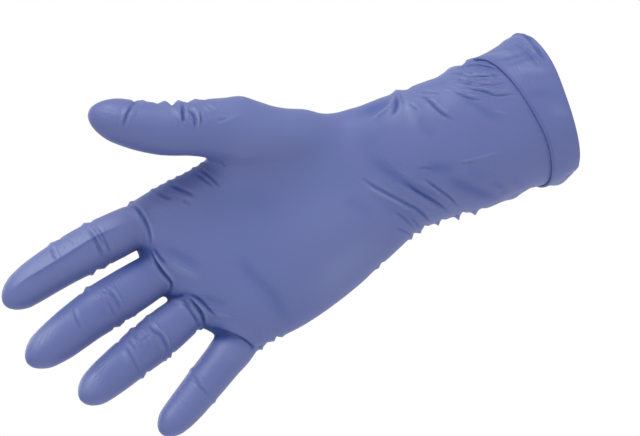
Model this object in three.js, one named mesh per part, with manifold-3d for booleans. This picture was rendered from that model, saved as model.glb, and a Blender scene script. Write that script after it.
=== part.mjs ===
// Disposable nitrile glove with a long sleeve, right hand, in the shape it has when worn.
// One dipped film: fingers, palm and sleeve, with the sleeve's end turned outward once
// over itself as a cuff band, and a rolled bead along the band's hem.
// Millimetres. +X runs from the wrist out through the sleeve's mouth, +Z points to the
// thumb side, -Y is the palm side. The origin is the middle of the wrist.

import * as THREE from "three";
import Module from "manifold-3d";

// Driving dimensions
const wall = 1.0;
const palmLength = 112;
const palmBreadth = 86;
const palmDepth = 30;
const wristBend = 8;
const sleeveLength = 85.6;
const sleeveBreadth = 63;
const sleeveDepth = 52;
const bandWidth = 15.5;
const bandRise = 11;
const cuffFlare = 4.6;
const foldGap = 0.5;
const beadRadius = 1.1;
const foldDepth = 1.8;
const foldWidth = 5.5;
const indexLength = 76.5;
const indexBreadth = 20.8;
const middleLength = 79.5;
const middleBreadth = 21.4;
const ringLength = 73;
const ringBreadth = 20.0;
const littleLength = 61;
const littleBreadth = 17.6;
const thumbLength = 118;
const thumbBreadth = 23.6;

// Fineness of the facets
const skinSides = 42;
const skinStep = 4.6;
const hollowSides = 24;
const hollowStep = 10;
const fingerSides = 16;
const fingerHollowSides = 12;

const wasm = await Module();
wasm.setup();

// Sections of the palm, from the wrist to the finger roots. along is a share of the
// palm's length, thumbSide and littleSide are shares of its breadth from the wrist's
// middle line, and depth is a share of its depth. lean is how far the thumb side bends
// to the palm side, as a share of the depth.
const PALM = [
  { along: 0.00, thumbSide: 0.374, littleSide: 0.368, depth: 1.36, lean: 0.00 },
  { along: 0.09, thumbSide: 0.384, littleSide: 0.426, depth: 1.27, lean: 0.04 },
  { along: 0.16, thumbSide: 0.408, littleSide: 0.462, depth: 1.22, lean: 0.12 },
  { along: 0.23, thumbSide: 0.456, littleSide: 0.490, depth: 1.19, lean: 0.24 },
  { along: 0.32, thumbSide: 0.508, littleSide: 0.527, depth: 1.15, lean: 0.38 },
  { along: 0.42, thumbSide: 0.530, littleSide: 0.564, depth: 1.11, lean: 0.50 },
  { along: 0.51, thumbSide: 0.525, littleSide: 0.592, depth: 1.07, lean: 0.55 },
  { along: 0.59, thumbSide: 0.480, littleSide: 0.608, depth: 1.04, lean: 0.50 },
  { along: 0.645, thumbSide: 0.406, littleSide: 0.615, depth: 1.02, lean: 0.38 },
  { along: 0.71, thumbSide: 0.376, littleSide: 0.610, depth: 1.00, lean: 0.24 },
  { along: 0.79, thumbSide: 0.364, littleSide: 0.570, depth: 0.97, lean: 0.12 },
  { along: 0.86, thumbSide: 0.354, littleSide: 0.475, depth: 0.92, lean: 0.05 },
  { along: 0.93, thumbSide: 0.336, littleSide: 0.328, depth: 0.85, lean: 0.00 },
  { along: 0.98, thumbSide: 0.300, littleSide: 0.188, depth: 0.72, lean: 0.00 },
  { along: 1.01, thumbSide: 0.220, littleSide: 0.080, depth: 0.46, lean: 0.00 },
];

// Sections of the sleeve, from the wrist to the mouth. along is a share of the sleeve's
// length, and the sides and depth are shares of the sleeve's half breadth and half depth.
const SLEEVE = [
  { along: 0.00, thumbSide: 1.02, littleSide: 1.005, depth: 0.785 },
  { along: 0.13, thumbSide: 1.025, littleSide: 0.935, depth: 0.80 },
  { along: 0.27, thumbSide: 1.02, littleSide: 0.94, depth: 0.84 },
  { along: 0.50, thumbSide: 1.03, littleSide: 0.99, depth: 0.92 },
  { along: 0.64, thumbSide: 1.06, littleSide: 0.985, depth: 0.96 },
  { along: 0.78, thumbSide: 1.03, littleSide: 0.970, depth: 0.99 },
  { along: 0.90, thumbSide: 1.04, littleSide: 0.995, depth: 1.02 },
  { along: 1.00, thumbSide: 1.05, littleSide: 0.96, depth: 1.04 },
];

// Sections along a finger or the thumb: shares of its length and of its breadth.
const FINGER_SECTIONS = [
  { along: 0.00, breadth: 1.00, depth: 0.96 },
  { along: 0.18, breadth: 1.00, depth: 0.95 },
  { along: 0.38, breadth: 1.02, depth: 0.97 },
  { along: 0.50, breadth: 0.97, depth: 0.91 },
  { along: 0.66, breadth: 0.94, depth: 0.87 },
  { along: 0.78, breadth: 0.89, depth: 0.81 },
  { along: 0.87, breadth: 0.79, depth: 0.71 },
  { along: 0.93, breadth: 0.64, depth: 0.58 },
  { along: 0.97, breadth: 0.46, depth: 0.43 },
  { along: 0.99, breadth: 0.27, depth: 0.26 },
];
const THUMB_SECTIONS = [
  { along: 0.00, breadth: 0.70, depth: 0.78 },
  { along: 0.10, breadth: 1.02, depth: 1.04 },
  { along: 0.20, breadth: 1.20, depth: 1.14 },
  { along: 0.34, breadth: 1.36, depth: 1.12 },
  { along: 0.47, breadth: 1.18, depth: 1.02 },
  { along: 0.60, breadth: 1.04, depth: 0.97 },
  { along: 0.72, breadth: 0.97, depth: 0.91 },
  { along: 0.84, breadth: 0.88, depth: 0.82 },
  { along: 0.91, breadth: 0.76, depth: 0.69 },
  { along: 0.96, breadth: 0.56, depth: 0.52 },
  { along: 0.99, breadth: 0.30, depth: 0.28 },
];

// Fingers and thumb. rootAlong and rootAcross place the root's middle as shares of the
// palm's length and breadth, and rootDepth as a share of its depth. Each bone has its
// share of the length, its turn aside to the little side and its curl to the palm side,
// in degrees from the sleeve's line.
const LIMBS = [
  {
    name: "index", length: indexLength, breadth: indexBreadth, sections: FINGER_SECTIONS,
    rootAlong: 0.955, rootAcross: 0.212, rootDepth: 0.05,
    bones: [
      { share: 0.44, aside: 6, curl: 1 },
      { share: 0.28, aside: 10, curl: 8 },
      { share: 0.28, aside: 12.5, curl: 15 },
    ],
  },
  {
    name: "middle", length: middleLength, breadth: middleBreadth, sections: FINGER_SECTIONS,
    rootAlong: 0.975, rootAcross: -0.058, rootDepth: 0.05,
    bones: [
      { share: 0.44, aside: 10.5, curl: 10 },
      { share: 0.30, aside: 14, curl: 20 },
      { share: 0.26, aside: 15, curl: 24 },
    ],
  },
  {
    name: "ring", length: ringLength, breadth: ringBreadth, sections: FINGER_SECTIONS,
    rootAlong: 0.905, rootAcross: -0.303, rootDepth: 0.05,
    bones: [
      { share: 0.43, aside: 16, curl: 12 },
      { share: 0.30, aside: 16, curl: 21 },
      { share: 0.27, aside: 15.5, curl: 26 },
    ],
  },
  {
    name: "little", length: littleLength, breadth: littleBreadth, sections: FINGER_SECTIONS,
    rootAlong: 0.768, rootAcross: -0.538, rootDepth: 0.05,
    bones: [
      { share: 0.42, aside: 28.5, curl: 9 },
      { share: 0.29, aside: 26.5, curl: 17 },
      { share: 0.29, aside: 22, curl: 22 },
    ],
  },
  {
    name: "thumb", length: thumbLength, breadth: thumbBreadth, sections: THUMB_SECTIONS,
    rootAlong: 0.150, rootAcross: 0.218, rootDepth: -0.06,
    bones: [
      { share: 0.48, aside: -27, curl: 10 },
      { share: 0.26, aside: -19.5, curl: 4 },
      { share: 0.26, aside: -30, curl: 2 },
    ],
  },
];

// Folds of the slack film round the wrist and the sleeve. Each runs straight on the
// unrolled film between two places: along is a share of the sleeve's length from the
// wrist, and turn is the angle in degrees from the thumb side over the palm side.
// rise is a share of the fold depth, above zero for a ridge and below for a valley.
const FOLDS = [
  { fromAlong: -0.11, fromTurn: 86, toAlong: 0.14, toTurn: 150, rise: 1.0 },
  { fromAlong: -0.07, fromTurn: 68, toAlong: 0.27, toTurn: 152, rise: -0.9 },
  { fromAlong: 0.10, fromTurn: 92, toAlong: 0.33, toTurn: 150, rise: 0.8 },
  { fromAlong: 0.28, fromTurn: 108, toAlong: 0.52, toTurn: 155, rise: -0.8 },
  { fromAlong: 0.24, fromTurn: 8, toAlong: 0.10, toTurn: 38, rise: 1.0 },
  { fromAlong: 0.33, fromTurn: 32, toAlong: 0.45, toTurn: 66, rise: 0.7 },
  { fromAlong: 0.50, fromTurn: 50, toAlong: 0.68, toTurn: 86, rise: -0.7 },
  { fromAlong: 0.42, fromTurn: 105, toAlong: 0.62, toTurn: 112, rise: 0.5 },
  { fromAlong: -0.05, fromTurn: 205, toAlong: 0.16, toTurn: 262, rise: 0.9 },
  { fromAlong: 0.16, fromTurn: 200, toAlong: 0.36, toTurn: 268, rise: -0.8 },
  { fromAlong: 0.20, fromTurn: 340, toAlong: 0.38, toTurn: 282, rise: 0.8 },
  { fromAlong: 0.40, fromTurn: 330, toAlong: 0.60, toTurn: 270, rise: -0.7 },
];

const radians = THREE.MathUtils.degToRad;
const foldReach = foldWidth * 3;
const mouthTurnRadius = wall + foldGap / 2;

// A value read smoothly from a table's column at a share along it.
function readColumn(rows, along, column) {
  let i = 0;
  while (i < rows.length - 2 && along > rows[i + 1].along) i += 1;
  const before = rows[Math.max(i - 1, 0)];
  const a = rows[i];
  const b = rows[i + 1];
  const after = rows[Math.min(i + 2, rows.length - 1)];
  const span = b.along - a.along;
  const t = THREE.MathUtils.clamp((along - a.along) / span, 0, 1);
  const slopeA = (b[column] - before[column]) / (b.along - before.along) * span;
  const slopeB = (after[column] - a[column]) / (after.along - a.along) * span;
  const t2 = t * t;
  const t3 = t2 * t;
  return (2 * t3 - 3 * t2 + 1) * a[column] + (t3 - 2 * t2 + t) * slopeA
    + (3 * t2 - 2 * t3) * b[column] + (t3 - t2) * slopeB;
}

// The skin's section at x: how far it reaches to each side and front and back.
function skinSection(x) {
  if (x < 0) {
    const along = -x / palmLength;
    return {
      thumbSide: readColumn(PALM, along, "thumbSide") * palmBreadth,
      littleSide: readColumn(PALM, along, "littleSide") * palmBreadth,
      halfDepth: readColumn(PALM, along, "depth") * palmDepth / 2,
      middleY: -x * Math.tan(radians(wristBend)),
      lean: readColumn(PALM, along, "lean") * palmDepth,
    };
  }
  const along = x / sleeveLength;
  return {
    thumbSide: readColumn(SLEEVE, along, "thumbSide") * sleeveBreadth / 2,
    littleSide: readColumn(SLEEVE, along, "littleSide") * sleeveBreadth / 2,
    halfDepth: readColumn(SLEEVE, along, "depth") * sleeveDepth / 2,
    middleY: 0,
    lean: 0,
  };
}

// How far the folds lift the film at x and turn.
function foldLift(x, turn) {
  const section = skinSection(x);
  const roundness = Math.PI * (section.thumbSide + section.littleSide + 2 * section.halfDepth) / 720;
  let lift = 0;
  for (const fold of FOLDS) {
    const ax = fold.fromAlong * sleeveLength;
    const ay = fold.fromTurn * roundness;
    const bx = fold.toAlong * sleeveLength;
    const by = fold.toTurn * roundness;
    const px = x;
    const py = turn * roundness;
    const runLength2 = (bx - ax) ** 2 + (by - ay) ** 2;
    const t = THREE.MathUtils.clamp(((px - ax) * (bx - ax) + (py - ay) * (by - ay)) / runLength2, 0, 1);
    const distance = Math.hypot(px - ax - t * (bx - ax), py - ay - t * (by - ay));
    if (distance < foldReach) {
      const fade = Math.sin(Math.PI * (0.12 + 0.76 * t));
      lift += fold.rise * foldDepth * fade * Math.exp(-((distance / foldWidth) ** 2));
    }
  }
  return lift;
}

// A point of the skin at x and turn, moved outward by offset.
function skinPoint(x, turn, offset) {
  const section = skinSection(x);
  const angle = radians(turn);
  const across = Math.sign(Math.cos(angle)) * Math.abs(Math.cos(angle)) ** 0.9;
  const deep = Math.sign(Math.sin(angle)) * Math.abs(Math.sin(angle)) ** 0.9;
  const middleZ = (section.thumbSide - section.littleSide) / 2;
  const halfBreadth = (section.thumbSide + section.littleSide) / 2;
  const flareStart = sleeveLength * 0.8;
  const flareShare = THREE.MathUtils.clamp((x - flareStart) / (sleeveLength - flareStart), 0, 1);
  const flare = cuffFlare * flareShare ** 1.5 * ((1 + Math.cos(angle)) / 2) ** 5;
  const grow = offset + flare + foldLift(x, turn);
  return new THREE.Vector3(
    x,
    section.middleY - section.lean * Math.max(across, 0) ** 2 - (section.halfDepth + grow) * deep,
    middleZ + (halfBreadth + grow) * across,
  );
}

// A closed solid through rings of points, with a point at each end.
function solidThroughRings(rings, startPoint, endPoint) {
  const sides = rings[0].length;
  const positions = [];
  const triangles = [];
  for (const ring of rings) {
    for (const point of ring) positions.push(point.x, point.y, point.z);
  }
  const start = rings.length * sides;
  positions.push(startPoint.x, startPoint.y, startPoint.z, endPoint.x, endPoint.y, endPoint.z);
  for (let side = 0; side < sides; side += 1) {
    const next = (side + 1) % sides;
    triangles.push(start, next, side);
    for (let ring = 0; ring + 1 < rings.length; ring += 1) {
      const low = ring * sides;
      const high = low + sides;
      triangles.push(low + side, low + next, high + next, low + side, high + next, high + side);
    }
    const last = (rings.length - 1) * sides;
    triangles.push(start + 1, last + side, last + next);
  }
  return solidFrom(positions, triangles);
}

// A closed ring-shaped solid: each loop is one section of it, and the last joins the first.
function solidThroughLoops(loops) {
  const count = loops[0].length;
  const positions = loops.flat().flatMap((point) => [point.x, point.y, point.z]);
  const triangles = [];
  for (let i = 0; i < loops.length; i += 1) {
    const here = i * count;
    const there = ((i + 1) % loops.length) * count;
    for (let j = 0; j < count; j += 1) {
      const next = (j + 1) % count;
      triangles.push(here + j, here + next, there + next, here + j, there + next, there + j);
    }
  }
  return solidFrom(positions, triangles);
}

// A solid from closed triangles, turned right side out if it came inside out.
function solidFrom(positions, triangles) {
  const make = (order) => new wasm.Manifold(new wasm.Mesh({
    numProp: 3,
    vertProperties: new Float32Array(positions),
    triVerts: new Uint32Array(order),
  }));
  const solid = make(triangles);
  if (solid.volume() > 0) return solid;
  const turned = [];
  for (let i = 0; i < triangles.length; i += 3) {
    turned.push(triangles[i], triangles[i + 2], triangles[i + 1]);
  }
  return make(turned);
}

// The palm and sleeve as one filled solid, moved outward by offset, from the finger
// roots to endX.
function palmAndSleeve(offset, endX, sides, step) {
  const tipAlong = PALM[PALM.length - 1].along;
  const startX = -tipAlong * palmLength - offset;
  const count = Math.ceil((endX - startX) / step);
  const rings = [];
  for (let i = 0; i <= count; i += 1) {
    const x = THREE.MathUtils.lerp(startX, endX, i / count);
    const ring = [];
    for (let side = 0; side < sides; side += 1) {
      const point = skinPoint(THREE.MathUtils.clamp(x, startX + offset, sleeveLength), side * 360 / sides, offset);
      ring.push(point.setX(x));
    }
    rings.push(ring);
  }
  const middle = (ring) => ring.reduce((sum, p) => sum.add(p), new THREE.Vector3()).divideScalar(ring.length);
  const startPoint = middle(rings[0]).add(new THREE.Vector3(-palmDepth * 0.08, 0, 0));
  return solidThroughRings(rings, startPoint, middle(rings[rings.length - 1]));
}

// The middle line of a finger or the thumb, through its root, joints and tip.
function limbLine(limb, lengthCut) {
  const rootX = -limb.rootAlong * palmLength;
  const point = new THREE.Vector3(
    rootX,
    -rootX * Math.tan(radians(wristBend)) + limb.rootDepth * palmDepth,
    limb.rootAcross * palmBreadth,
  );
  const points = [point.clone()];
  limb.bones.forEach((bone, i) => {
    const last = i === limb.bones.length - 1;
    const boneLength = bone.share * limb.length - (last ? lengthCut : 0);
    const aside = radians(bone.aside);
    const curl = radians(bone.curl);
    point.add(new THREE.Vector3(
      -Math.cos(aside) * Math.cos(curl),
      -Math.sin(curl),
      -Math.sin(aside) * Math.cos(curl),
    ).multiplyScalar(boneLength));
    points.push(point.clone());
  });
  return new THREE.CatmullRomCurve3(points);
}

// A finger or the thumb as one filled solid, moved outward by offset.
function limbSolid(limb, offset, sides, sections) {
  const line = limbLine(limb, -offset);
  const palmSide = new THREE.Vector3(0, -1, 0);
  const rings = [];
  for (let i = 0; i <= sections; i += 1) {
    const along = 1 - (1 - i / sections) ** 1.6;
    const lastAlong = limb.sections[limb.sections.length - 1].along;
    const share = Math.min(along * lastAlong, lastAlong);
    const middle = line.getPointAt(share);
    const run = line.getTangentAt(share);
    const across = new THREE.Vector3().crossVectors(run, palmSide).normalize();
    const deep = new THREE.Vector3().crossVectors(across, run);
    const halfBreadth = readColumn(limb.sections, share, "breadth") * limb.breadth / 2 + offset;
    const halfDepth = readColumn(limb.sections, share, "depth") * limb.breadth / 2 + offset;
    const ring = [];
    for (let side = 0; side < sides; side += 1) {
      const angle = side / sides * Math.PI * 2;
      ring.push(middle.clone()
        .addScaledVector(across, halfBreadth * Math.cos(angle))
        .addScaledVector(deep, halfDepth * Math.sin(angle)));
    }
    rings.push(ring);
  }
  const root = line.getPointAt(0).addScaledVector(line.getTangentAt(0), -limb.breadth * 0.25);
  return solidThroughRings(rings, root, line.getPointAt(1));
}

// How wide the turned-over band is at a turn: it rises on the thumb side.
function bandWidthAt(turn) {
  return bandWidth + bandRise * ((1 + Math.cos(radians(turn))) / 2) ** 4;
}

// The cuff: the film turns outward round the mouth and runs back outside the sleeve to
// the rolled bead, with an open gap under it.
function cuffBand() {
  const turnSteps = 5;
  const beadSteps = 6;
  const runSteps = 4;
  const turnX = sleeveLength - mouthTurnRadius;
  const loops = [];
  for (let side = 0; side < skinSides; side += 1) {
    const turn = side * 360 / skinSides;
    const hemX = sleeveLength - bandWidthAt(turn);
    const loop = [];
    const place = (x, offset) => {
      const film = skinPoint(Math.min(x, sleeveLength), turn, offset);
      loop.push(film.setX(x));
    };
    for (let i = 0; i <= beadSteps; i += 1) {
      const angle = Math.PI * (1.75 - 1.25 * i / beadSteps);
      place(hemX + beadRadius * Math.cos(angle), foldGap + beadRadius * (1 + Math.sin(angle)));
    }
    for (let i = 1; i <= runSteps; i += 1) {
      place(THREE.MathUtils.lerp(hemX + beadRadius * 1.4, turnX, i / runSteps), foldGap + wall);
    }
    for (let i = 1; i <= turnSteps; i += 1) {
      const angle = Math.PI * (0.5 - i / turnSteps);
      place(turnX + mouthTurnRadius * Math.cos(angle), foldGap / 2 + mouthTurnRadius * Math.sin(angle));
    }
    place(turnX, -wall * 1.5);
    place(turnX - wall * 2, -wall * 1.5);
    place(turnX - wall * 2, -wall * 0.5);
    place(turnX, -wall * 0.5);
    for (let i = runSteps; i >= 1; i -= 1) {
      place(THREE.MathUtils.lerp(hemX + beadRadius * 1.4, turnX, i / runSteps), foldGap);
    }
    loops.push(loop);
  }
  return solidThroughLoops(loops);
}

// Everything joined outside, then hollowed from the mouth to the fingertips.
function gloveSolid() {
  let skin = palmAndSleeve(0, sleeveLength - wall, skinSides, skinStep);
  let hollow = palmAndSleeve(-wall, sleeveLength + wall * 5, hollowSides, hollowStep);
  for (const limb of LIMBS) {
    skin = skin.add(limbSolid(limb, 0, fingerSides, 13));
    hollow = hollow.add(limbSolid(limb, -wall, fingerHollowSides, 9));
  }
  return skin.add(cuffBand()).subtract(hollow);
}

function meshOf(solid, name, material) {
  const made = solid.getMesh();
  const geometry = new THREE.BufferGeometry();
  geometry.setAttribute("position", new THREE.BufferAttribute(made.vertProperties, 3));
  geometry.setIndex(new THREE.BufferAttribute(made.triVerts, 1));
  geometry.computeVertexNormals();
  const mesh = new THREE.Mesh(geometry, material);
  mesh.name = name;
  return mesh;
}

const nitrile = new THREE.MeshStandardMaterial({ color: 0x6b75a8, roughness: 0.48, metalness: 0 });

const glovePart = new THREE.Group();
glovePart.add(meshOf(gloveSolid(), "glove", nitrile));

export default glovePart;
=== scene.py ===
# Right-handed nitrile exam glove in its worn shape, palm side to the camera.
# Lengths in the sections below are millimetres, and a mesh is made in metres.
import math

import bmesh
import bpy
import numpy as np
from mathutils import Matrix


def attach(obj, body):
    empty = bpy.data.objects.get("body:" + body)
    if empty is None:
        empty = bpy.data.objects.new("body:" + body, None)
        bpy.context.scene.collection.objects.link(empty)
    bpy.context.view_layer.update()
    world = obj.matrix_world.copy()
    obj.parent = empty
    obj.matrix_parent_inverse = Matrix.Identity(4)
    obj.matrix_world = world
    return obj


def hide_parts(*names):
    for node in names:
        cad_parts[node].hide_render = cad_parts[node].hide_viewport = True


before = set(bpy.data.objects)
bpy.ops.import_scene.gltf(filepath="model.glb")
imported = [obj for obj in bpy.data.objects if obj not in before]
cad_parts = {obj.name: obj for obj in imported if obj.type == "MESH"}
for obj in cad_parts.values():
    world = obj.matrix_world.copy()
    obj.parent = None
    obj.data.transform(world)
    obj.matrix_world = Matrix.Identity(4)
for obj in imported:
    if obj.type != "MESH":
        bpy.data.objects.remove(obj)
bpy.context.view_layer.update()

import openvdb
from mathutils import Matrix, Vector, noise
from mathutils.bvhtree import BVHTree
from mathutils.kdtree import KDTree

# Palm and sleeve
# The film is dipped on a shaped former, so its palm and sleeve are one smooth tube, oval
# at the wrist and flat and broad toward the fingers. The thumb side bends forward.
PALM_LENGTH, PALM_BREADTH, PALM_DEPTH = 112.0, 86.0, 30.0
SLEEVE_LENGTH, SLEEVE_BREADTH, SLEEVE_DEPTH = 85.6, 63.0, 52.0
WRIST_BEND = math.radians(8)
OVAL = 2 / 0.9
MOUTH_FLARE, FLARE_FROM, FLARE_SPAN = 4.6, 0.8, 0.2


def table(names, rows):
    """Rows of numbers as named columns."""
    return dict(zip(names.split(), np.array(rows, float).T))


PALM = table("along thumb little depth lean", [
    (0.00, 0.374, 0.368, 1.36, 0.00), (0.09, 0.384, 0.420, 1.27, 0.04),
    (0.16, 0.408, 0.452, 1.22, 0.12), (0.23, 0.456, 0.490, 1.19, 0.24),
    (0.32, 0.486, 0.529, 1.15, 0.38), (0.42, 0.530, 0.564, 1.11, 0.50),
    (0.51, 0.525, 0.588, 1.07, 0.55), (0.59, 0.480, 0.600, 1.04, 0.50),
    (0.645, 0.406, 0.604, 1.02, 0.38), (0.71, 0.376, 0.610, 1.00, 0.24),
    (0.79, 0.364, 0.565, 0.97, 0.12), (0.86, 0.354, 0.455, 0.92, 0.05),
    (0.93, 0.336, 0.336, 0.85, 0.00), (0.98, 0.300, 0.188, 0.72, 0.00),
    (1.01, 0.220, 0.080, 0.46, 0.00)])
SLEEVE = table("along thumb little depth", [
    (0.00, 1.020, 1.005, 0.785), (0.13, 1.025, 0.935, 0.80), (0.27, 1.02, 0.94, 0.84),
    (0.50, 1.038, 0.990, 0.92), (0.64, 1.066, 0.985, 0.96), (0.78, 1.03, 0.97, 0.99),
    (0.90, 1.040, 0.995, 1.02), (1.00, 1.050, 0.960, 1.04)])


def read(rows, name, at):
    """A table's column at a share along it, smoothly between its rows."""
    along, value = rows["along"], rows[name]
    i = np.clip(np.searchsorted(along, at, side="right") - 1, 0, len(along) - 2)
    before = np.maximum(i - 1, 0)
    after = np.minimum(i + 2, len(along) - 1)
    span = along[i + 1] - along[i]
    t = np.clip((at - along[i]) / span, 0, 1)
    slope_a = (value[i + 1] - value[before]) / (along[i + 1] - along[before]) * span
    slope_b = (value[after] - value[i]) / (along[after] - along[i]) * span
    return ((2 * t**3 - 3 * t**2 + 1) * value[i] + (t**3 - 2 * t**2 + t) * slope_a
            + (3 * t**2 - 2 * t**3) * value[i + 1] + (t**3 - t**2) * slope_b)


def skin_section(x):
    """Middle, half breadth, half depth and lean of the tube at x."""
    down_palm, up_sleeve = -x / PALM_LENGTH, x / SLEEVE_LENGTH
    on_palm = x < 0
    thumb = np.where(on_palm, read(PALM, "thumb", down_palm) * PALM_BREADTH,
                     read(SLEEVE, "thumb", up_sleeve) * SLEEVE_BREADTH / 2)
    little = np.where(on_palm, read(PALM, "little", down_palm) * PALM_BREADTH,
                      read(SLEEVE, "little", up_sleeve) * SLEEVE_BREADTH / 2)
    half_depth = np.where(on_palm, read(PALM, "depth", down_palm) * PALM_DEPTH / 2,
                          read(SLEEVE, "depth", up_sleeve) * SLEEVE_DEPTH / 2)
    middle_y = np.where(on_palm, -x * math.tan(WRIST_BEND), 0)
    lean = np.where(on_palm, read(PALM, "lean", down_palm) * PALM_DEPTH, 0)
    return (thumb - little) / 2, (thumb + little) / 2, middle_y, half_depth, lean


def flare(x):
    """How far the thumb side of the sleeve flares out near its mouth."""
    return MOUTH_FLARE * np.clip((x / SLEEVE_LENGTH - FLARE_FROM) / FLARE_SPAN, 0, 1)**1.5


def gradient_length(values, step):
    """The steepness of a grid's values, kept off zero."""
    gx, gy, gz = np.gradient(values, step)
    return np.maximum(np.sqrt(gx * gx + gy * gy + gz * gz), 1e-3)


def tube_distance(x, y, z, step):
    """Signed distance to the palm and sleeve tube on a grid, in millimetres."""
    end = PALM["along"][-1] * PALM_LENGTH
    middle_z, half_breadth, middle_y, half_depth, lean = skin_section(np.maximum(x, -end))
    across = (z - middle_z) / half_breadth
    deep = (y - middle_y + lean * np.clip(across, 0, 1)**2) / half_depth
    shape = (np.abs(across)**OVAL + np.abs(deep)**OVAL)**(1 / OVAL) - 1
    distance = shape / gradient_length(shape, step)
    toward_thumb = (1 + across / np.maximum(np.hypot(across, deep), 1e-3)) / 2
    distance = distance - flare(x) * toward_thumb**5
    past = np.broadcast_to(-end - x, distance.shape)
    return np.where(past > 0, np.hypot(np.maximum(distance, 0), past), distance)


# Fingers and thumb
# Four fingers fan out toward the little side and bend forward, each more than the one
# before it. The thumb stands off to the other side. The tips are rounded.
FINGER = table("along breadth depth", [
    (0.00, 0.90, 0.95), (0.10, 0.955, 0.95), (0.22, 1.00, 0.95), (0.38, 1.015, 0.96),
    (0.50, 0.975, 0.91), (0.66, 0.93, 0.86), (0.77, 0.875, 0.80), (0.85, 0.80, 0.72)])
LITTLE_FINGER = table("along breadth depth", [
    (0.00, 1.07, 0.98), (0.10, 1.10, 0.97), (0.22, 1.04, 0.96), (0.38, 1.00, 0.97),
    (0.50, 0.975, 0.91), (0.66, 0.93, 0.86), (0.77, 0.875, 0.80), (0.85, 0.80, 0.72)])
THUMB = table("along breadth depth", [
    (0.00, 0.68, 0.78), (0.10, 0.98, 1.04), (0.21, 1.07, 1.12), (0.28, 1.12, 1.12),
    (0.345, 1.23, 1.12), (0.41, 1.33, 1.07), (0.48, 1.18, 1.02), (0.60, 1.03, 0.97),
    (0.72, 0.97, 0.91), (0.81, 0.92, 0.84), (0.88, 0.85, 0.76)])
LIMBS = {
    "index": dict(length=76.5, breadth=20.8, sections=FINGER, root=(0.955, 0.212, 0.05),
                  bones=[(0.44, 6, 1), (0.28, 10, 8), (0.28, 15, 15)], web=4.0),
    "middle": dict(length=80.0, breadth=21.4, sections=FINGER, root=(0.975, -0.062, 0.05),
                   bones=[(0.44, 10.5, 10), (0.30, 14, 20), (0.26, 13.5, 24)], web=3.5),
    "ring": dict(length=73.0, breadth=20.0, sections=FINGER, root=(0.905, -0.303, 0.05),
                 bones=[(0.43, 16, 12), (0.30, 16, 21), (0.27, 15.5, 26)], web=2.5),
    "little": dict(length=60.8, breadth=17.4, sections=LITTLE_FINGER, root=(0.768, -0.538, 0.05),
                   bones=[(0.42, 27.8, 9), (0.29, 25.6, 17), (0.29, 21.4, 22)], web=2.0),
    "thumb": dict(length=117.4, breadth=23.6, sections=THUMB, root=(0.150, 0.218, -0.06),
                  bones=[(0.48, -27, 10), (0.26, -19.5, 4), (0.26, -32.5, 2)], web=6.0),
}
LINE_STEPS, BONE_STEPS = 26, 16
TIP_ROUNDING = 1.4


def between_corners(a, b, c, d, t):
    """A place from b to c on a smooth line through four corners."""
    return 0.5 * (2 * b + (c - a) * t + (2 * a - 5 * b + 4 * c - d) * t**2
                  + (3 * b - a - 3 * c + d) * t**3)


def limb_line(limb):
    """Points, run, across and deep directions along a limb, up to where its tip rounds."""
    along, across, deep = limb["root"]
    x = -along * PALM_LENGTH
    joint = np.array([x, -x * math.tan(WRIST_BEND) + deep * PALM_DEPTH, across * PALM_BREADTH])
    joints = [joint]
    for share, aside, curl in limb["bones"]:
        aside, curl = math.radians(aside), math.radians(curl)
        run = np.array([-math.cos(aside) * math.cos(curl), -math.sin(curl),
                        -math.sin(aside) * math.cos(curl)])
        joint = joint + run * share * limb["length"]
        joints.append(joint)
    ends = [2 * joints[0] - joints[1]] + joints + [2 * joints[-1] - joints[-2]]
    dense = []
    for a, b, c, d in zip(ends, ends[1:], ends[2:], ends[3:]):
        for t in np.linspace(0, 1, BONE_STEPS, endpoint=False):
            dense.append(between_corners(a, b, c, d, t))
    dense.append(joints[-1])
    dense = np.array(dense)
    share = np.concatenate([[0], np.cumsum(np.linalg.norm(np.diff(dense, axis=0), axis=1))])
    wanted = np.linspace(0, limb["sections"]["along"][-1], LINE_STEPS + 1)
    points = np.stack([np.interp(wanted, share / share[-1], dense[:, i]) for i in range(3)], 1)
    run = np.gradient(points, axis=0)
    run /= np.linalg.norm(run, axis=1)[:, None]
    across = np.cross(run, (0, -1, 0))
    across /= np.linalg.norm(across, axis=1)[:, None]
    return wanted, points, run, across, np.cross(across, run)


def limb_distance(limb, place, step):
    """Signed distance to one limb on a grid of places, in millimetres."""
    share, points, run, across, deep = limb_line(limb)
    nearest = np.full(place.shape[:-1], np.inf)
    at = np.zeros_like(nearest)
    for i, (a, b) in enumerate(zip(points, points[1:])):
        span = b - a
        t = np.clip((place - a) @ span / (span @ span), 0, 1)
        away = np.linalg.norm(place - a - t[..., None] * span, axis=-1)
        closer = away < nearest
        nearest = np.where(closer, away, nearest)
        at = np.where(closer, i + t, at)
    low = np.minimum(at.astype(int), LINE_STEPS - 1)
    part = (at - low)[..., None]

    def between(values):
        return values[low] * (1 - part) + values[low + 1] * part

    offset = place - between(points)
    here = np.interp(at, np.arange(LINE_STEPS + 1), share)
    half = limb["breadth"] / 2
    a = (offset * between(across)).sum(-1) / (read(limb["sections"], "breadth", here) * half)
    b = (offset * between(deep)).sum(-1) / (read(limb["sections"], "depth", here) * half)
    beyond = (offset * between(run)).sum(-1)
    tip_reach = (1 - limb["sections"]["along"][-1]) * limb["length"]
    past_tip = np.abs(np.maximum(beyond, 0) / tip_reach)**TIP_ROUNDING
    past_root = (np.minimum(beyond, 0) / half)**2
    shape = np.sqrt(a * a + b * b + past_tip + past_root) - 1
    return shape / gradient_length(shape, step)


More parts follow.
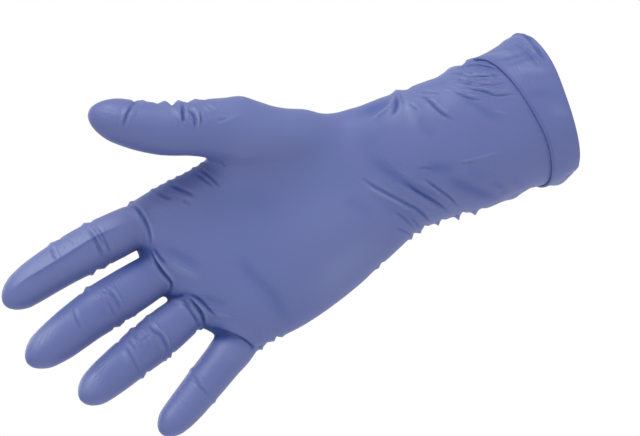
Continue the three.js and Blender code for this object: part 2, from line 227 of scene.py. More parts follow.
# Dipped film
# One film of nitrile covers fingers, palm and sleeve, so every root and web runs over in
# a soft hollow. It is taken from the tube and the limbs melted together, as the former is.
GRID_STEP = 1.3
GRID_LOW = np.array([-190.0, -36.0, -84.0])
GRID_HIGH = np.array([86.0, 36.0, 82.0])
FAR = 9.0
FILM_CUT_X = 77.0


def melt(a, b, reach):
    """The nearer of two distances, run over smoothly within a reach."""
    share = np.maximum(reach - np.abs(a - b), 0) / reach
    return np.minimum(a, b) - share**3 * reach / 6


def axis_places(axis):
    """The grid's places along one axis."""
    return np.arange(GRID_LOW[axis], GRID_HIGH[axis], GRID_STEP)


def glove_distance():
    """Signed distance to the whole film on the grid, worked out near each limb in turn."""
    xs, ys, zs = (axis_places(i) for i in range(3))
    tube = tube_distance(xs[:, None, None], ys[None, :, None], zs[None, None, :], GRID_STEP)
    whole = tube.copy()
    for limb in LIMBS.values():
        points = limb_line(limb)[1]
        room = limb["breadth"] * 1.25
        cut = []
        for axis, places in enumerate((xs, ys, zs)):
            first = np.searchsorted(places, points[:, axis].min() - room)
            last = np.searchsorted(places, points[:, axis].max() + room)
            cut.append(slice(first, last))
        cut = tuple(cut)
        place = np.stack(np.meshgrid(xs[cut[0]], ys[cut[1]], zs[cut[2]], indexing="ij"), -1)
        distance = melt(tube[cut], limb_distance(limb, place, GRID_STEP), limb["web"])
        whole[cut] = np.minimum(whole[cut], distance)
    return whole


def sample(values, places):
    """A grid's values at places, blended between its eight neighbours."""
    at = (places - GRID_LOW) / GRID_STEP
    at = np.clip(at, 0, np.array(values.shape) - 1.001)
    low = at.astype(int)
    t = at - low
    result = 0
    for corner in np.ndindex(2, 2, 2):
        weight = np.prod(np.where(corner, t, 1 - t), axis=1)
        result = result + weight * values[tuple((low + corner).T)]
    return result


def film_surface(every):
    """Points and quads of the film's surface, made on every n-th cell of the grid."""
    grid = openvdb.FloatGrid(background=FAR)
    values = np.clip(distance[::every, ::every, ::every], -FAR, FAR)
    grid.copyFromArray(np.ascontiguousarray(values))
    points, quads = grid.convertToQuads(isovalue=0.0)
    return settle(np.array(points, float) * GRID_STEP * every + GRID_LOW, 0.0), np.array(quads)


distance = glove_distance()
slopes = np.gradient(distance, GRID_STEP)


def normals_at(places):
    """The way outward from the film at places."""
    normals = np.stack([sample(part, places) for part in slopes], 1)
    return normals / np.linalg.norm(normals, axis=1)[:, None]


def settle(places, level):
    """Moves places onto the surface at a level of the distance."""
    for _ in range(3):
        slope = np.stack([sample(part, places) for part in slopes], 1)
        length2 = np.maximum((slope**2).sum(1), 0.05)
        places = places - ((sample(distance, places) - level) / length2)[:, None] * slope
    return places


base_points, base_quads = film_surface(1)

# Folds and hollows of the worn film
# The film is stretched over the fingers and slack at the joints, the roots, the wrist and
# the sleeve. Each fold is pressed into the surface along a short path on it.

# A palm-side path is given as seen by the camera: right and up from the wrist, square to
# the line of sight, before the camera is rolled. A back path is given by x and z. Each
# fold has its kind, its width, its rise and its path.
VIEW_TURN = math.radians(-18)
VIEW_RIGHT = np.array([math.cos(VIEW_TURN), math.sin(VIEW_TURN), 0.0])
VIEW_BACK = np.array([math.sin(VIEW_TURN), -math.cos(VIEW_TURN), 0.0])
VIEW_UP = np.array([0.0, 0.0, 1.0])
VIEW_AIM = np.array([-31.48, 10.23, -8.5])
VIEW_DISTANCE = 1500.0
VIEW_FROM = VIEW_AIM + VIEW_DISTANCE * VIEW_BACK
PATH_STEP = 1.6

INDEX_FOLDS = [
    ("facet", 1.3, 0.65, [(-177, 10), (-170, 12.5), (-160, 14.5), (-150, 16.3), (-140, 18.3),
                          (-130, 20), (-116, 21)]),
    ("crease", 0.75, 0.50, [(-151, 24), (-151, 20), (-150.8, 15.5)]),
    ("ridge", 0.9, 0.40, [(-149.6, 24), (-149.4, 20), (-149.2, 16)]),
    ("crease", 0.7, 0.20, [(-142.3, 23.5), (-140.5, 19.5)]),
    ("crease", 0.9, 0.65, [(-133.2, 26), (-131.6, 21.5), (-130.8, 16), (-130.6, 8.5)]),
    ("crease", 0.7, 0.50, [(-131, 26), (-129.2, 20), (-128.4, 14)]),
    ("crease", 0.7, 0.55, [(-129.3, 26), (-127.4, 20.5), (-126.8, 14), (-126.4, 9)]),
    ("ridge", 0.8, 0.35, [(-132.2, 26), (-130.4, 21), (-129.6, 14)]),
    ("crease", 0.9, 0.80, [(-111.5, 27.5), (-108.6, 25.2), (-107.4, 21), (-107, 15),
                           (-107.8, 10.5), (-109.4, 7)]),
    ("ridge", 0.9, 0.60, [(-109.6, 28), (-106.8, 23.5), (-105.8, 17), (-106.4, 11),
                          (-108, 7.5)]),
]
MIDDLE_FOLDS = [
    ("crease", 0.8, 0.35, [(-151.3, -5.5), (-151.6, -11), (-151.2, -17.5)]),
    ("crease", 0.7, 0.35, [(-137.5, -3.5), (-134.5, -6), (-132.6, -9)]),
    ("crease", 0.8, 0.45, [(-134.3, -2), (-132.4, -8), (-131.2, -16)]),
    ("crease", 0.7, 0.30, [(-136, -8), (-135.4, -12), (-134.8, -18)]),
    ("ridge", 0.8, 0.35, [(-133.4, -2.5), (-131, -7), (-130, -13)]),
    ("valley", 2.0, 0.25, [(-140, -6), (-139, -17)]),
    ("ridge", 2.4, 0.35, [(-173, -15), (-158, -10), (-144, -6)]),
    ("crease", 0.78, 1.10, [(-109.8, 6), (-109.2, 1), (-108.2, -5), (-106.6, -10),
                            (-106.4, -12.6), (-108, -15.2), (-110, -16.4)]),
    ("ridge", 0.75, 0.55, [(-108.7, 5), (-108, 0), (-106.8, -5), (-105, -10)]),
    ("crease", 0.8, 0.75, [(-108.2, 6), (-107, 1), (-105.2, -3.8)]),
    ("ridge", 0.7, 0.40, [(-107, -11), (-108.4, -14.5)]),
]
RING_FOLDS = [
    ("crease", 0.9, 0.35, [(-134.8, -30), (-134.2, -37), (-133.6, -45)]),
    ("ridge", 1.4, 0.30, [(-137, -31), (-136.4, -40)]),
    ("crease", 0.7, 0.35, [(-133.2, -27.5), (-132.2, -31), (-131, -35)]),
    ("crease", 0.7, 0.35, [(-130.3, -26.5), (-129, -30.5)]),
    ("crease", 0.7, 0.25, [(-128.4, -31.6), (-123, -30)]),
    ("crease", 0.9, 0.60, [(-122.6, -24.5), (-121, -29), (-118.6, -33), (-118, -41.5)]),
    ("ridge", 0.9, 0.45, [(-120, -24), (-118.4, -30), (-116.8, -34), (-116.6, -40)]),
    ("ridge", 2.4, 0.30, [(-158, -40), (-148, -36), (-137, -33)]),
    ("crease", 0.75, 0.75, [(-104.6, -20), (-102.8, -25), (-101.8, -29.5), (-100.8, -35)]),
    ("crease", 0.70, 1.00, [(-101, -21), (-99.3, -25.5), (-98.3, -30), (-98.9, -36.5)]),
    ("ridge", 0.7, 0.55, [(-100.4, -21), (-97.9, -25.5), (-96.6, -30), (-97, -35)]),
    ("crease", 0.8, 0.90, [(-101.5, -19.4), (-98.2, -21.6), (-96, -25.4), (-94.2, -30),
                           (-92, -34)]),
    ("crease", 0.8, 0.70, [(-109.5, -16.5), (-106.5, -18.4), (-102, -19)]),
]
LITTLE_FOLDS = [
    ("crease", 0.8, 0.45, [(-111.8, -53.5), (-110.2, -60), (-108.4, -66)]),
    ("ridge", 0.8, 0.25, [(-112.8, -54), (-111.4, -59)]),
    ("lap", 0.75, 1.30, [(-97.5, -35.6), (-92.5, -38.3), (-88, -42.3), (-85, -45.8), (-83, -49.3),
                        (-81.4, -53), (-80.6, -56)]),
    ("ridge", 0.6, 0.45, [(-87, -45.4), (-84.4, -48.6), (-82.4, -52.4)]),
]
PALM_FOLDS = [
    ("crease", 1.0, 0.45, [(-99, 30.5), (-96, 26.8), (-92, 22.5)]),
    ("crease", 1.0, 0.65, [(-91.5, 30), (-86.5, 25.2), (-81.5, 20)]),
    ("crease", 0.9, 0.35, [(-88.5, 21.5), (-85, 17)]),
    ("crease", 0.8, 0.60, [(-76, 31.5), (-72.8, 26.5), (-70, 20)]),
    ("crease", 0.8, 0.50, [(-78.5, 31), (-75, 25.5), (-72.5, 21)]),
    ("crease", 0.8, 0.30, [(-66.5, 31.5), (-64, 28)]),
    ("valley", 2.2, 0.55, [(-105.5, 4), (-100, 0), (-95, -6), (-91.5, -11.5)]),
    ("ridge", 1.8, 0.45, [(-104.5, -2), (-99, -9), (-93, -15)]),
    ("valley", 2.0, 0.45, [(-97, -22), (-92, -26), (-85, -30.5)]),
    ("ridge", 1.6, 0.35, [(-94.5, -31), (-90, -34), (-86, -36)]),
    ("valley", 3.2, 0.50, [(-76, -10), (-71, -21), (-66, -32), (-64, -42), (-63, -50)]),
    ("valley", 2.6, 0.25, [(-20, -4), (-10, -16)]),
    ("valley", 6.0, 0.25, [(-88, 16), (-66, 12), (-46, 2)]),
]
THUMB_FOLDS = [
    ("crease", 0.8, 0.70, [(-92.8, 70.3), (-95.5, 67.6), (-98.4, 65), (-101.5, 61)]),
    ("ridge", 0.8, 0.35, [(-96.5, 68.6), (-99.5, 66)]),
    ("ridge", 0.8, 0.35, [(-93.8, 67.6), (-97, 64.6)]),
    ("crease", 0.85, 0.95, [(-72.6, 62.6), (-73.2, 59.5), (-74.2, 56.5), (-74.9, 53)]),
    ("ridge", 1.0, 0.55, [(-77.6, 62), (-76.4, 58.5), (-75.8, 54)]),
    ("ridge", 0.75, 0.75, [(-69.8, 60), (-68.2, 57.2), (-67.2, 55.2), (-68.4, 52.4),
                           (-70.2, 47.5)]),
    ("crease", 0.75, 0.70, [(-71, 58.5), (-69.6, 55), (-69.8, 52.5), (-71.4, 48.5)]),
    ("crease", 0.75, 0.45, [(-66.4, 56.5), (-66.6, 53.5), (-67.6, 49.5)]),
    ("ridge", 0.7, 0.35, [(-64.4, 57.6), (-61.4, 53)]),
    ("ridge", 0.7, 0.40, [(-62.2, 58), (-58.4, 52.4)]),
    ("crease", 0.8, 0.30, [(-60.5, 49), (-56, 48)]),
    ("ridge", 0.9, 0.25, [(-61, 47.6), (-50, 47.5)]),
    ("ridge", 3.0, 0.20, [(-112, 72), (-100, 67), (-84, 61), (-76, 58)]),
]
WRIST_FOLDS = [
    ("crease", 0.85, 0.62, [(-10, 3), (-8, 0), (-5, -4.5), (0, -10.3), (5, -16), (10, -21.5),
                            (13.5, -28)]),
    ("ridge", 1.2, 0.45, [(-9.5, -2), (-3, -9.4), (3, -16.4), (8, -22.5)]),
    ("valley", 2.8, 0.60, [(-5, 12), (1, 3), (7, -6), (12, -12.5), (17, -19), (22, -26)]),
    ("crease", 0.8, 0.62, [(7.5, -6), (11.8, -12.6), (16, -18), (20, -23.4), (24.3, -31)]),
    ("ridge", 1.3, 0.50, [(3, -5), (8.4, -12), (13.4, -18.6), (18, -24.6)]),
    ("ridge", 1.5, 0.40, [(6, 1), (12, -7), (18, -14.5)]),
    ("crease", 0.75, 0.60, [(16.5, -8), (20, -13.6), (23, -18), (25, -21.4), (27.4, -28)]),
    ("ridge", 0.75, 0.35, [(15.4, -9), (19, -14.6), (22, -19)]),
    ("crease", 0.75, 0.45, [(8, -20), (10.6, -23.5), (12.4, -28)]),
    ("crease", 0.75, 0.40, [(-1, -17.5), (2, -22), (5.4, -28.6)]),
    ("crease", 0.7, 0.40, [(5, -22.6), (7.4, -28.6)]),
    ("crease", 0.7, 0.35, [(-3, -24.5), (0.5, -28), (2.6, -31)]),
    ("crease", 0.75, 0.30, [(16, -4.2), (19, -4.4), (22.4, -6.6)]),
    ("valley", 2.4, 0.35, [(19, -4.6), (26, -7.6), (32, -10)]),
    ("valley", 2.6, 0.65, [(26, -11), (31, -17), (36, -22), (41, -26), (47, -31)]),
    ("ridge", 0.9, 0.90, [(19.6, 34), (18.6, 31), (16, 28.4), (13, 26.7), (8, 25.2),
                          (3.5, 24.4)]),
    ("crease", 1.1, 0.75, [(18.8, 31.5), (17.6, 27), (14, 22.4)]),
    ("crease", 0.9, 0.45, [(20.8, 33.6), (20.6, 29.5), (20.2, 25)]),
    ("valley", 3.0, 0.30, [(2, 28.6), (12, 29.4), (16, 30.4)]),
    ("ridge", 2.2, 0.35, [(21.5, 30), (22, 21), (23, 13)]),
    ("crease", 0.75, 0.40, [(22.6, 25), (25.6, 20.6)]),
    ("valley", 2.4, 0.35, [(24.6, 19), (26, 12), (29, 6)]),
    ("crease", 0.85, 0.70, [(29, 27), (31.8, 23), (33, 20), (35, 16), (39.6, 10)]),
    ("ridge", 1.3, 0.30, [(33, 25), (35.6, 19), (38.6, 14)]),
]
SLEEVE_FOLDS = [
    ("ridge", 0.50, 0.30, [(25, 31), (30, 29.6), (37.6, 25.6)]),
    ("crease", 0.50, 0.30, [(26.6, 29.6), (32, 27.4), (38, 24.2)]),
    ("ridge", 0.50, 0.26, [(39.6, 26), (44.6, 22)]),
    ("valley", 1.80, 0.50, [(43.6, 23), (48, 18), (52, 11.5), (56, 6), (61, 1)]),
    ("crease", 0.54, 0.42, [(43, 23.6), (46, 20.4), (50.6, 16.6), (54.6, 14.6)]),
    ("crease", 0.54, 0.55, [(48, 24.4), (52, 20.6), (57, 17.6), (61, 14.4), (70.6, 11.4)]),
    ("ridge", 0.50, 0.34, [(52, 22.4), (57.6, 18.8), (63, 15.6), (69.6, 13.6)]),
    ("crease", 0.50, 0.38, [(44.6, 31.6), (49, 29.4), (52.6, 26.4)]),
    ("crease", 0.50, 0.34, [(45.6, 28), (50, 24.6), (54, 23)]),
    ("ridge", 0.50, 0.34, [(46, 30), (51, 26.4), (57, 24.4)]),
    ("crease", 0.50, 0.42, [(49.6, 27.4), (56, 25.2), (61.6, 23.6), (66.6, 21.6)]),
    ("ridge", 0.50, 0.34, [(51, 29), (57, 26.6), (64, 23.6)]),
    ("crease", 0.50, 0.34, [(54, 21.6), (59, 20.2), (67, 17.6)]),
    ("crease", 0.66, 0.95, [(47.6, 32.2), (55, 31.2), (61, 28.6), (66, 25.2)]),
    ("valley", 1.40, 0.22, [(48.5, 25.2), (53.6, 21.2), (57.0, 17.6), (60.5, 12.4)]),
    ("ridge", 0.50, 0.38, [(52, 30.6), (57.6, 29), (63, 26)]),
    ("crease", 0.58, 0.51, [(52.6, 34), (58, 32), (63.6, 28.6)]),
    ("ridge", 0.54, 0.26, [(57, 8.5), (63.6, 4)]),
    ("ridge", 0.50, 0.30, [(32.6, -6.6), (38, -8.2), (44, -9), (55, -10)]),
    ("crease", 0.54, 0.21, [(34.6, -8.6), (41, -10)]),
    ("ridge", 0.50, 0.26, [(44, -21.6), (47.4, -26.6)]),
    ("valley", 2.00, 0.35, [(44.6, -20), (50, -29)]),
    ("valley", 2.00, 0.25, [(53, -22), (58, -29)]),
    ("valley", 2.60, 0.25, [(36, -12), (44, -20)]),
]
BACK_FOLDS = [
    ("valley", 2.4, 0.80, [(-14, 20), (0, 4), (10, -16)]),
    ("ridge", 2.6, 0.80, [(-10, 26), (6, 8), (18, -14)]),
    ("crease", 1.8, 1.00, [(2, 28), (16, 12), (28, -10)]),
    ("valley", 3.0, 0.90, [(26, 26), (38, 8), (46, -14)]),
    ("ridge", 2.6, 0.60, [(34, 28), (46, 12), (54, -8)]),
    ("crease", 1.2, 0.60, [(50, 28), (58, 16)]),
    ("crease", 1.2, 0.50, [(8, -12), (18, -28)]),
    ("crease", 1.0, 0.50, [(-22, -24), (-8, -32)]),
    ("ridge", 4.0, 0.70, [(-104, 20), (-76, 16), (-40, 8)]),
    ("ridge", 4.0, 0.70, [(-106, -4), (-76, -3), (-40, -1)]),
    ("ridge", 4.0, 0.60, [(-98, -26), (-72, -21), (-40, -9)]),
    ("ridge", 4.0, 0.50, [(-84, -44), (-62, -36), (-38, -18)]),
    ("valley", 3.0, 0.60, [(-84, 29), (-70, 34), (-56, 42)]),
    ("crease", 1.4, 0.70, [(-78, 26), (-68, 30), (-60, 28)]),
]

# Small bumps and notches where folds run over the edge of the view: right, up, width,
# rise. Each place lies just inside the outline.
EDGE_NICKS = [
    (-150, 22.6, 1.3, 0.6), (-145.5, 22.6, 1.0, -0.35), (-133, 25.8, 1.1, 0.7),
    (-130, 26, 0.8, -0.4), (-112.5, 27.4, 0.9, -0.5), (-110, 28.2, 1.2, 0.8),
    (-138, 6.8, 1.0, 0.8), (-135.2, 7.0, 0.9, -0.6), (-132, 7.0, 0.9, 0.5),
    (-129, 7.4, 0.8, -0.4), (-144.5, -3.6, 1.0, -0.5), (-142, -2.2, 1.2, 0.7),
    (-137.5, -19.8, 0.9, -0.6), (-135, -20, 1.0, 0.4), (-131.5, -18.7, 0.9, -0.6),
    (-127, -18.2, 1.0, 0.4), (-137, -29.8, 1.0, -0.5), (-130, -26.4, 1.1, 0.4),
    (-127.5, -26.6, 0.9, -0.5), (-121, -24.0, 1.2, 0.4), (-133.5, -45.7, 1.0, 0.6),
    (-131, -44.2, 0.8, -0.6), (-121.5, -41.2, 0.8, 0.5), (-118.8, -41.4, 0.8, 0.7),
    (-117, -40.4, 0.8, -0.5), (-103, -35.7, 0.8, -0.5), (-101, -35.9, 0.9, 0.6),
    (-111, -52.6, 1.0, 0.4), (-108, -67.2, 1.0, 0.4),
    (-93.5, 68.4, 0.9, -0.8), (-90, 66.9, 1.2, 0.5), (-83.5, 64.8, 1.1, -0.4),
    (-80, 64.4, 1.6, 1.0), (-77.3, 62.0, 1.2, -1.2), (-74, 62.4, 1.4, 1.0),
    (-70.5, 60.2, 1.0, -0.6), (-67, 58.9, 1.2, 0.6), (-63, 58.2, 1.2, -0.35),
    (19.5, 31.2, 1.8, 1.2), (24.5, 30.8, 1.6, -0.5), (38, 30.4, 2.2, -0.4),
    (46, 31.6, 3.0, 1.0), (51, 32.4, 1.2, -0.5), (55.5, 32.6, 2.0, 1.1),
    (-79, -52.8, 1.2, 1.5), (-75.5, -51.8, 0.9, -0.5), (-72.5, -51.2, 0.8, 0.6),
    (-70.5, -50.6, 0.8, -0.9), (-68, -50.8, 0.8, 0.5), (-17, -38.0, 0.9, 0.5),
    (-15, -35.8, 1.0, -0.5), (1.5, -30.6, 0.9, 0.9), (3.8, -29.4, 0.8, -0.8),
    (6.3, -29.6, 0.8, 1.0), (9.5, -27.8, 1.0, -1.0), (15.5, -29.0, 0.9, 1.5),
    (18, -28.2, 0.9, -0.7), (25, -29.6, 1.0, 2.2), (28, -28.6, 0.9, -0.8),
    (32.8, -30.2, 1.2, 1.9), (36.5, -30.0, 1.2, -0.5), (51.5, -30.2, 3.6, 1.1),
    (60, -29.6, 1.6, -0.4),
]
# A row of small teeth runs along the film's edge between the thumb and the index finger.
SERRATION_STEP, SERRATION_WIDTH, SERRATION_RISE = 3.3, 0.9, 0.45
SERRATION_FROM, SERRATION_TO = (-99.0, 29.2), (-74.0, 32.6)

base_tree = BVHTree.FromPolygons(base_points.tolist(), base_quads.tolist())


def smooth_path(corners):
    """A path's corners joined by a smooth line of short, even steps."""
    corners = np.array(corners, float)
    if len(corners) == 2:
        steps = int(np.linalg.norm(corners[1] - corners[0]) / PATH_STEP) + 2
        return np.linspace(corners[0], corners[1], steps)
    ends = np.vstack([2 * corners[0] - corners[1], corners, 2 * corners[-1] - corners[-2]])
    line = []
    for a, b, c, d in zip(ends, ends[1:], ends[2:], ends[3:]):
        steps = int(np.linalg.norm(c - b) / PATH_STEP) + 1
        for t in np.linspace(0, 1, steps, endpoint=False):
            line.append(between_corners(a, b, c, d, t))
    return np.array(line + [corners[-1]])


def hit_film(start, toward):
    """The place and facing where a ray meets the film, or nothing."""
    place, facing, _, _ = base_tree.ray_cast(Vector(start), Vector(toward).normalized())
    return None if place is None else np.array(place[:] + facing[:])


def palm_ray(right, up):
    """A ray from the camera through a place of the view."""
    return VIEW_FROM, right * VIEW_RIGHT + up * VIEW_UP - VIEW_FROM


def back_ray(x, z):
    """A ray onto the back of the glove."""
    return (x, 200.0, z), (0.0, -1.0, 0.0)


def line_on_film(corners, ray):
    """Places and facings along a path laid onto the film."""
    hits = [hit_film(*ray(*corner)) for corner in smooth_path(corners)]
    return np.array([hit for hit in hits if hit is not None])


def line_over_edge(right, up):
    """From the film's near face to its far face at a place just inside the outline."""
    start, toward = palm_ray(right, up)
    near = hit_film(start, toward)
    if near is None:
        return np.zeros((0, 6))
    unit = toward / np.linalg.norm(toward)
    far = hit_film(near[:3] + 0.5 * unit, unit)
    share = np.linspace(0, 1, 9)[:, None]
    places = settle(near[:3] * (1 - share) + far[:3] * share, 0.0)
    return np.hstack([places, normals_at(places)])


# Three creases cross the back of each joint: shift along the limb as a share, and rise.
JOINT_CREASES = [(-0.030, 0.45), (0.0, 0.60), (0.032, 0.45)]
JOINT_CREASE_WIDTH, JOINT_CREASE_REACH = 1.0, 0.34

pressed = []
for folds in (INDEX_FOLDS, MIDDLE_FOLDS, RING_FOLDS, LITTLE_FOLDS, PALM_FOLDS, THUMB_FOLDS,
              WRIST_FOLDS, SLEEVE_FOLDS):
    pressed += [(kind, width, rise, line_on_film(corners, palm_ray))
                for kind, width, rise, corners in folds]
pressed += [(kind, width, rise, line_on_film(corners, back_ray))
            for kind, width, rise, corners in BACK_FOLDS]
pressed += [("bump", width, rise, line_over_edge(right, up))
            for right, up, width, rise in EDGE_NICKS]
serrations = int((SERRATION_TO[0] - SERRATION_FROM[0]) / SERRATION_STEP)
for i in range(serrations):
    right, up = np.array(SERRATION_FROM) + (np.subtract(SERRATION_TO, SERRATION_FROM)
                                            * i / (serrations - 1))
    rise = SERRATION_RISE * (1, 0.6, 1.2)[i % 3]
    pressed.append(("bump", SERRATION_WIDTH, rise, line_over_edge(right, up)))
for limb in LIMBS.values():
    share, places, _, across, _ = limb_line(limb)
    joint = 0
    for bone, _, _ in limb["bones"][:-1]:
        joint += bone
        for shift, rise in JOINT_CREASES:
            middle = np.array([np.interp(joint + shift, share, places[:, i]) for i in range(3)])
            side = np.array([np.interp(joint + shift, share, across[:, i]) for i in range(3)])
            arc = [middle + side * limb["breadth"] * part
                   for part in (-JOINT_CREASE_REACH, 0, JOINT_CREASE_REACH)]
            line = line_on_film([(p[0], p[2]) for p in arc], back_ray)
            pressed.append(("crease", JOINT_CREASE_WIDTH, rise, line))
pressed = [fold for fold in pressed if len(fold[3]) > 1]

# The base faces beside sharp folds are split in four, and the nearest ones once more, up
# to a count, so that the folds come out crisp. New points are settled onto the surface.
SHARP_WIDTH = 1.6
ROUNDS = [(68500, 3.2), (84500, 1.0)]
PLAIN_FROM_X = FILM_CUT_X - 5
NOWHERE_NEAR = 99.0


def nearness_to_folds(centres, room):
    """How far each face lies from the nearest sharp fold."""
    nearness = np.full(len(centres), NOWHERE_NEAR)
    for _, width, _, line in pressed:
        if width > SHARP_WIDTH:
            continue
        near = np.where(((centres > line[:, :3].min(0) - room)
                         & (centres < line[:, :3].max(0) + room)).all(1))[0]
        steps = np.linspace(0, len(line) - 1, 3 * len(line))
        places = np.stack([np.interp(steps, np.arange(len(line)), line[:, i])
                           for i in range(3)], 1)
        gaps = np.linalg.norm(centres[near][:, None] - places[None], axis=2).min(1)
        nearness[near] = np.minimum(nearness[near], gaps)
    nearness[centres[:, 0] > PLAIN_FROM_X] = NOWHERE_NEAR
    return nearness


bm = bmesh.new()
base_mesh = bpy.data.meshes.new("base")
base_mesh.from_pydata(base_points.tolist(), [], base_quads.tolist())
bm.from_mesh(base_mesh)
bpy.data.meshes.remove(base_mesh)
for face_limit, room in ROUNDS:
    bm.faces.ensure_lookup_table()
    centres = np.array([face.calc_center_median()[:] for face in bm.faces])
    nearness = nearness_to_folds(centres, room)
    split = np.argsort(nearness)[:(face_limit - len(centres)) // 3]
    edges = dict.fromkeys(edge for i in split[nearness[split] < room]
                          for edge in bm.faces[i].edges)
    bmesh.ops.subdivide_edges(bm, edges=list(edges), cuts=1, use_grid_fill=True,
                              use_single_edge=True)
film_points = settle(np.array([v.co[:] for v in bm.verts]), 0.0)
film_normals = normals_at(film_points)


def fold_height(kind, d):
    """A fold's height across it, where d is the distance in widths, signed by the side."""
    if kind == "ridge":
        return np.exp(-1.4 * np.abs(d)**1.4)
    if kind == "bump":
        return np.exp(-d**2)
    if kind == "valley":
        return -np.exp(-d**2)
    if kind == "crease":
        return 0.40 * np.exp(-((np.abs(d) - 1.9) / 0.9)**2) - np.exp(-1.6 * np.abs(d)**1.2)
    if kind == "facet":
        return np.exp(-1.1 * np.abs(d)**1.2)
    raised = 1 / (1 + np.exp(-9 * d))
    return raised * np.exp(-(np.maximum(d, 0) / 4)**2) - 0.4 * (1 - raised) * np.exp(-(d / 2.2)**2)


def fold_painted_shade_light(kind, d, rise):
    """A fold's painted shade and light: below zero is painted shade, deep blue; above zero is
    painted light, pale.
    """
    if kind == "crease":
        return rise * (0.10 * np.exp(-((np.abs(d) - 1.9) / 0.9)**2) - 0.50 * np.exp(-(d / 0.7)**2))
    if kind == "valley":
        return -0.30 * rise * np.exp(-d**2)
    if kind == "lap":
        return -0.35 * rise * np.exp(-((d + 0.5) / 0.7)**2)
    # A facet gets painted light on its upper, lit side and a thin line of painted shade below it.
    if kind == "facet":
        upper = 1 / (1 + np.exp(-12 * d))
        return rise * (0.33 * upper * np.exp(-(d / 6)**4) - 0.25 * np.exp(-((d + 0.4) / 0.45)**2))
    return 0.26 * rise * np.exp(-d**2)


# How fast a fold runs out at its ends.
END_FADE, LAP_END_FADE = 3.2, 12


def press_fold(lift, painted_shade_light, kind, width, rise, line):
    """Adds one fold to the lift and to the painted shade and light of every film point near its
    line.
    """
    places, facing = line[:, :3], line[:, 3:]
    reach = width * (9 if kind in ("lap", "facet") else 4.5)
    near = np.where(((film_points > places.min(0) - reach)
                     & (film_points < places.max(0) + reach)).all(1)
                    & (film_normals @ facing.mean(0) > 0.1))[0]
    here, best = film_points[near], np.full(len(near), np.inf)
    side, along = np.zeros(len(near)), np.zeros(len(near))
    for i, (a, b) in enumerate(zip(places, places[1:])):
        span = b - a
        t = np.clip((here - a) @ span / (span @ span), 0, 1)
        away = here - a - t[:, None] * span
        gap = np.linalg.norm(away, axis=1)
        closer = gap < best
        best = np.where(closer, gap, best)
        along = np.where(closer, (i + t) / (len(places) - 1), along)
        side = np.where(closer, np.sign(away @ np.cross(facing[i], span)), side)
    fade_rate = LAP_END_FADE if kind == "lap" else END_FADE
    fade = np.clip(np.minimum(along, 1 - along) * fade_rate + 0.08, 0, 1)
    fade = fade * fade * (3 - 2 * fade)
    beyond = np.exp(-(best / width / (8 if kind in ("lap", "facet") else 4))**4)
    lift[near] += rise * fade * beyond * fold_height(kind, side * best / width)
    painted_shade_light[near] += fade * beyond * fold_painted_shade_light(kind, side * best / width, rise)


# Painted shade and light start even at 0.5. Folds push the value lower for painted shade and higher
# for painted light.
lift, film_painted_shade_light = np.zeros(len(film_points)), np.full(len(film_points), 0.5)
for fold in pressed:
    press_fold(lift, film_painted_shade_light, *fold)

# Patches of painted shade, deeper and bluer, in webs, finger roots and other shaded places, and of
# painted light, paler, on lit fingertips and tops: right, up, reach along, reach across, turn of
# the patch in degrees, and tint.
PAINTED_SHADE_LIGHT_PATCHES = [
    (-86, 29, 19, 4.6, 6, -0.19), (-73, 27, 6, 6, 0, -0.10), (-115, 3.5, 9, 3.0, 12, -0.33),
    (-113, -1, 6, 5, 0, -0.14), (-112.8, 6, 2.8, 2.6, 0, -0.50),
    (-109.4, -17, 2.2, 2.0, 0, -0.60), (-98.5, -37, 2.6, 2.2, 0, -0.50),
    (-128, 0, 16, 1.8, 12, -0.22), (-94.5, -40, 4.6, 3.6, -45, -0.75),
    (-91, -43.5, 6, 2.2, -42, -0.30), (-106, -18, 5, 1.8, -10, -0.40),
    (-99, -22, 5, 3, -50, -0.18),
    (8, 28.5, 9, 2.4, 0, -0.16), (54, 27, 16, 7, -20, -0.03), (8, -4, 17, 6.5, -52, -0.07),
    (2, -18, 10, 3, -48, -0.08), (33, -19, 12, 4, -45, -0.03), (24, -6, 8, 3, -20, -0.10),
    (59, 29, 8, 2.2, -28, -0.22), (-105, 20, 3, 7, 0, -0.06), (-168, -12, 8, 3.5, 25, 0.18),
    (-158, -40, 6, 5, 20, 0.16), (-120, -62, 10, 5, 40, 0.06), (-79, 60, 6, 5, 0, 0.03),
    (1, 20, 9, 8, 0, -0.13), (-56, 52, 9, 5, -10, 0.05), (-40, 36, 20, 12, -20, 0.04),
    (50, 27, 22, 6, -10, 0.02), (-150, 9, 30, 5, 10, 0.06), (-30, -12, 24, 16, 20, 0.04),
    (30, 20, 14, 10, 0, 0.02), (22, 22, 4, 9, 0, 0.05), (-150, 2, 22, 6, 14, 0.05),
    (-120, 24, 10, 3, 8, 0.10), (-30, -34, 20, 9, 20, 0.11), (-92, -50, 8, 5, -30, 0.06),
]


def as_seen(places):
    """Right and up in the view of places on the glove."""
    to_camera = VIEW_FROM - places
    scale = (VIEW_FROM @ VIEW_BACK) / (to_camera @ VIEW_BACK)
    seen = VIEW_FROM - scale[:, None] * to_camera
    return seen @ VIEW_RIGHT, seen @ VIEW_UP


def within(patch, seen_right, seen_up):
    """Places along and across a turned patch, as shares of its reach."""
    right, up, along, across, turn = patch
    cosine, sine = math.cos(math.radians(turn)), math.sin(math.radians(turn))
    return (((seen_right - right) * cosine + (seen_up - up) * sine) / along,
            ((seen_up - up) * cosine - (seen_right - right) * sine) / across)


seen_right, seen_up = as_seen(film_points)
near_side = np.clip(film_normals @ VIEW_BACK * 2.5 + 1.0, 0, 1)
# The painted shade and light patches lie on the near side and are placed as the camera sees them.
for *patch, tint in PAINTED_SHADE_LIGHT_PATCHES:
    a, b = within(patch, seen_right, seen_up)
    film_painted_shade_light += tint * near_side * np.exp(-(a * a + b * b)**1.3)
film_painted_shade_light = np.clip(film_painted_shade_light, 0.0, 1.0)

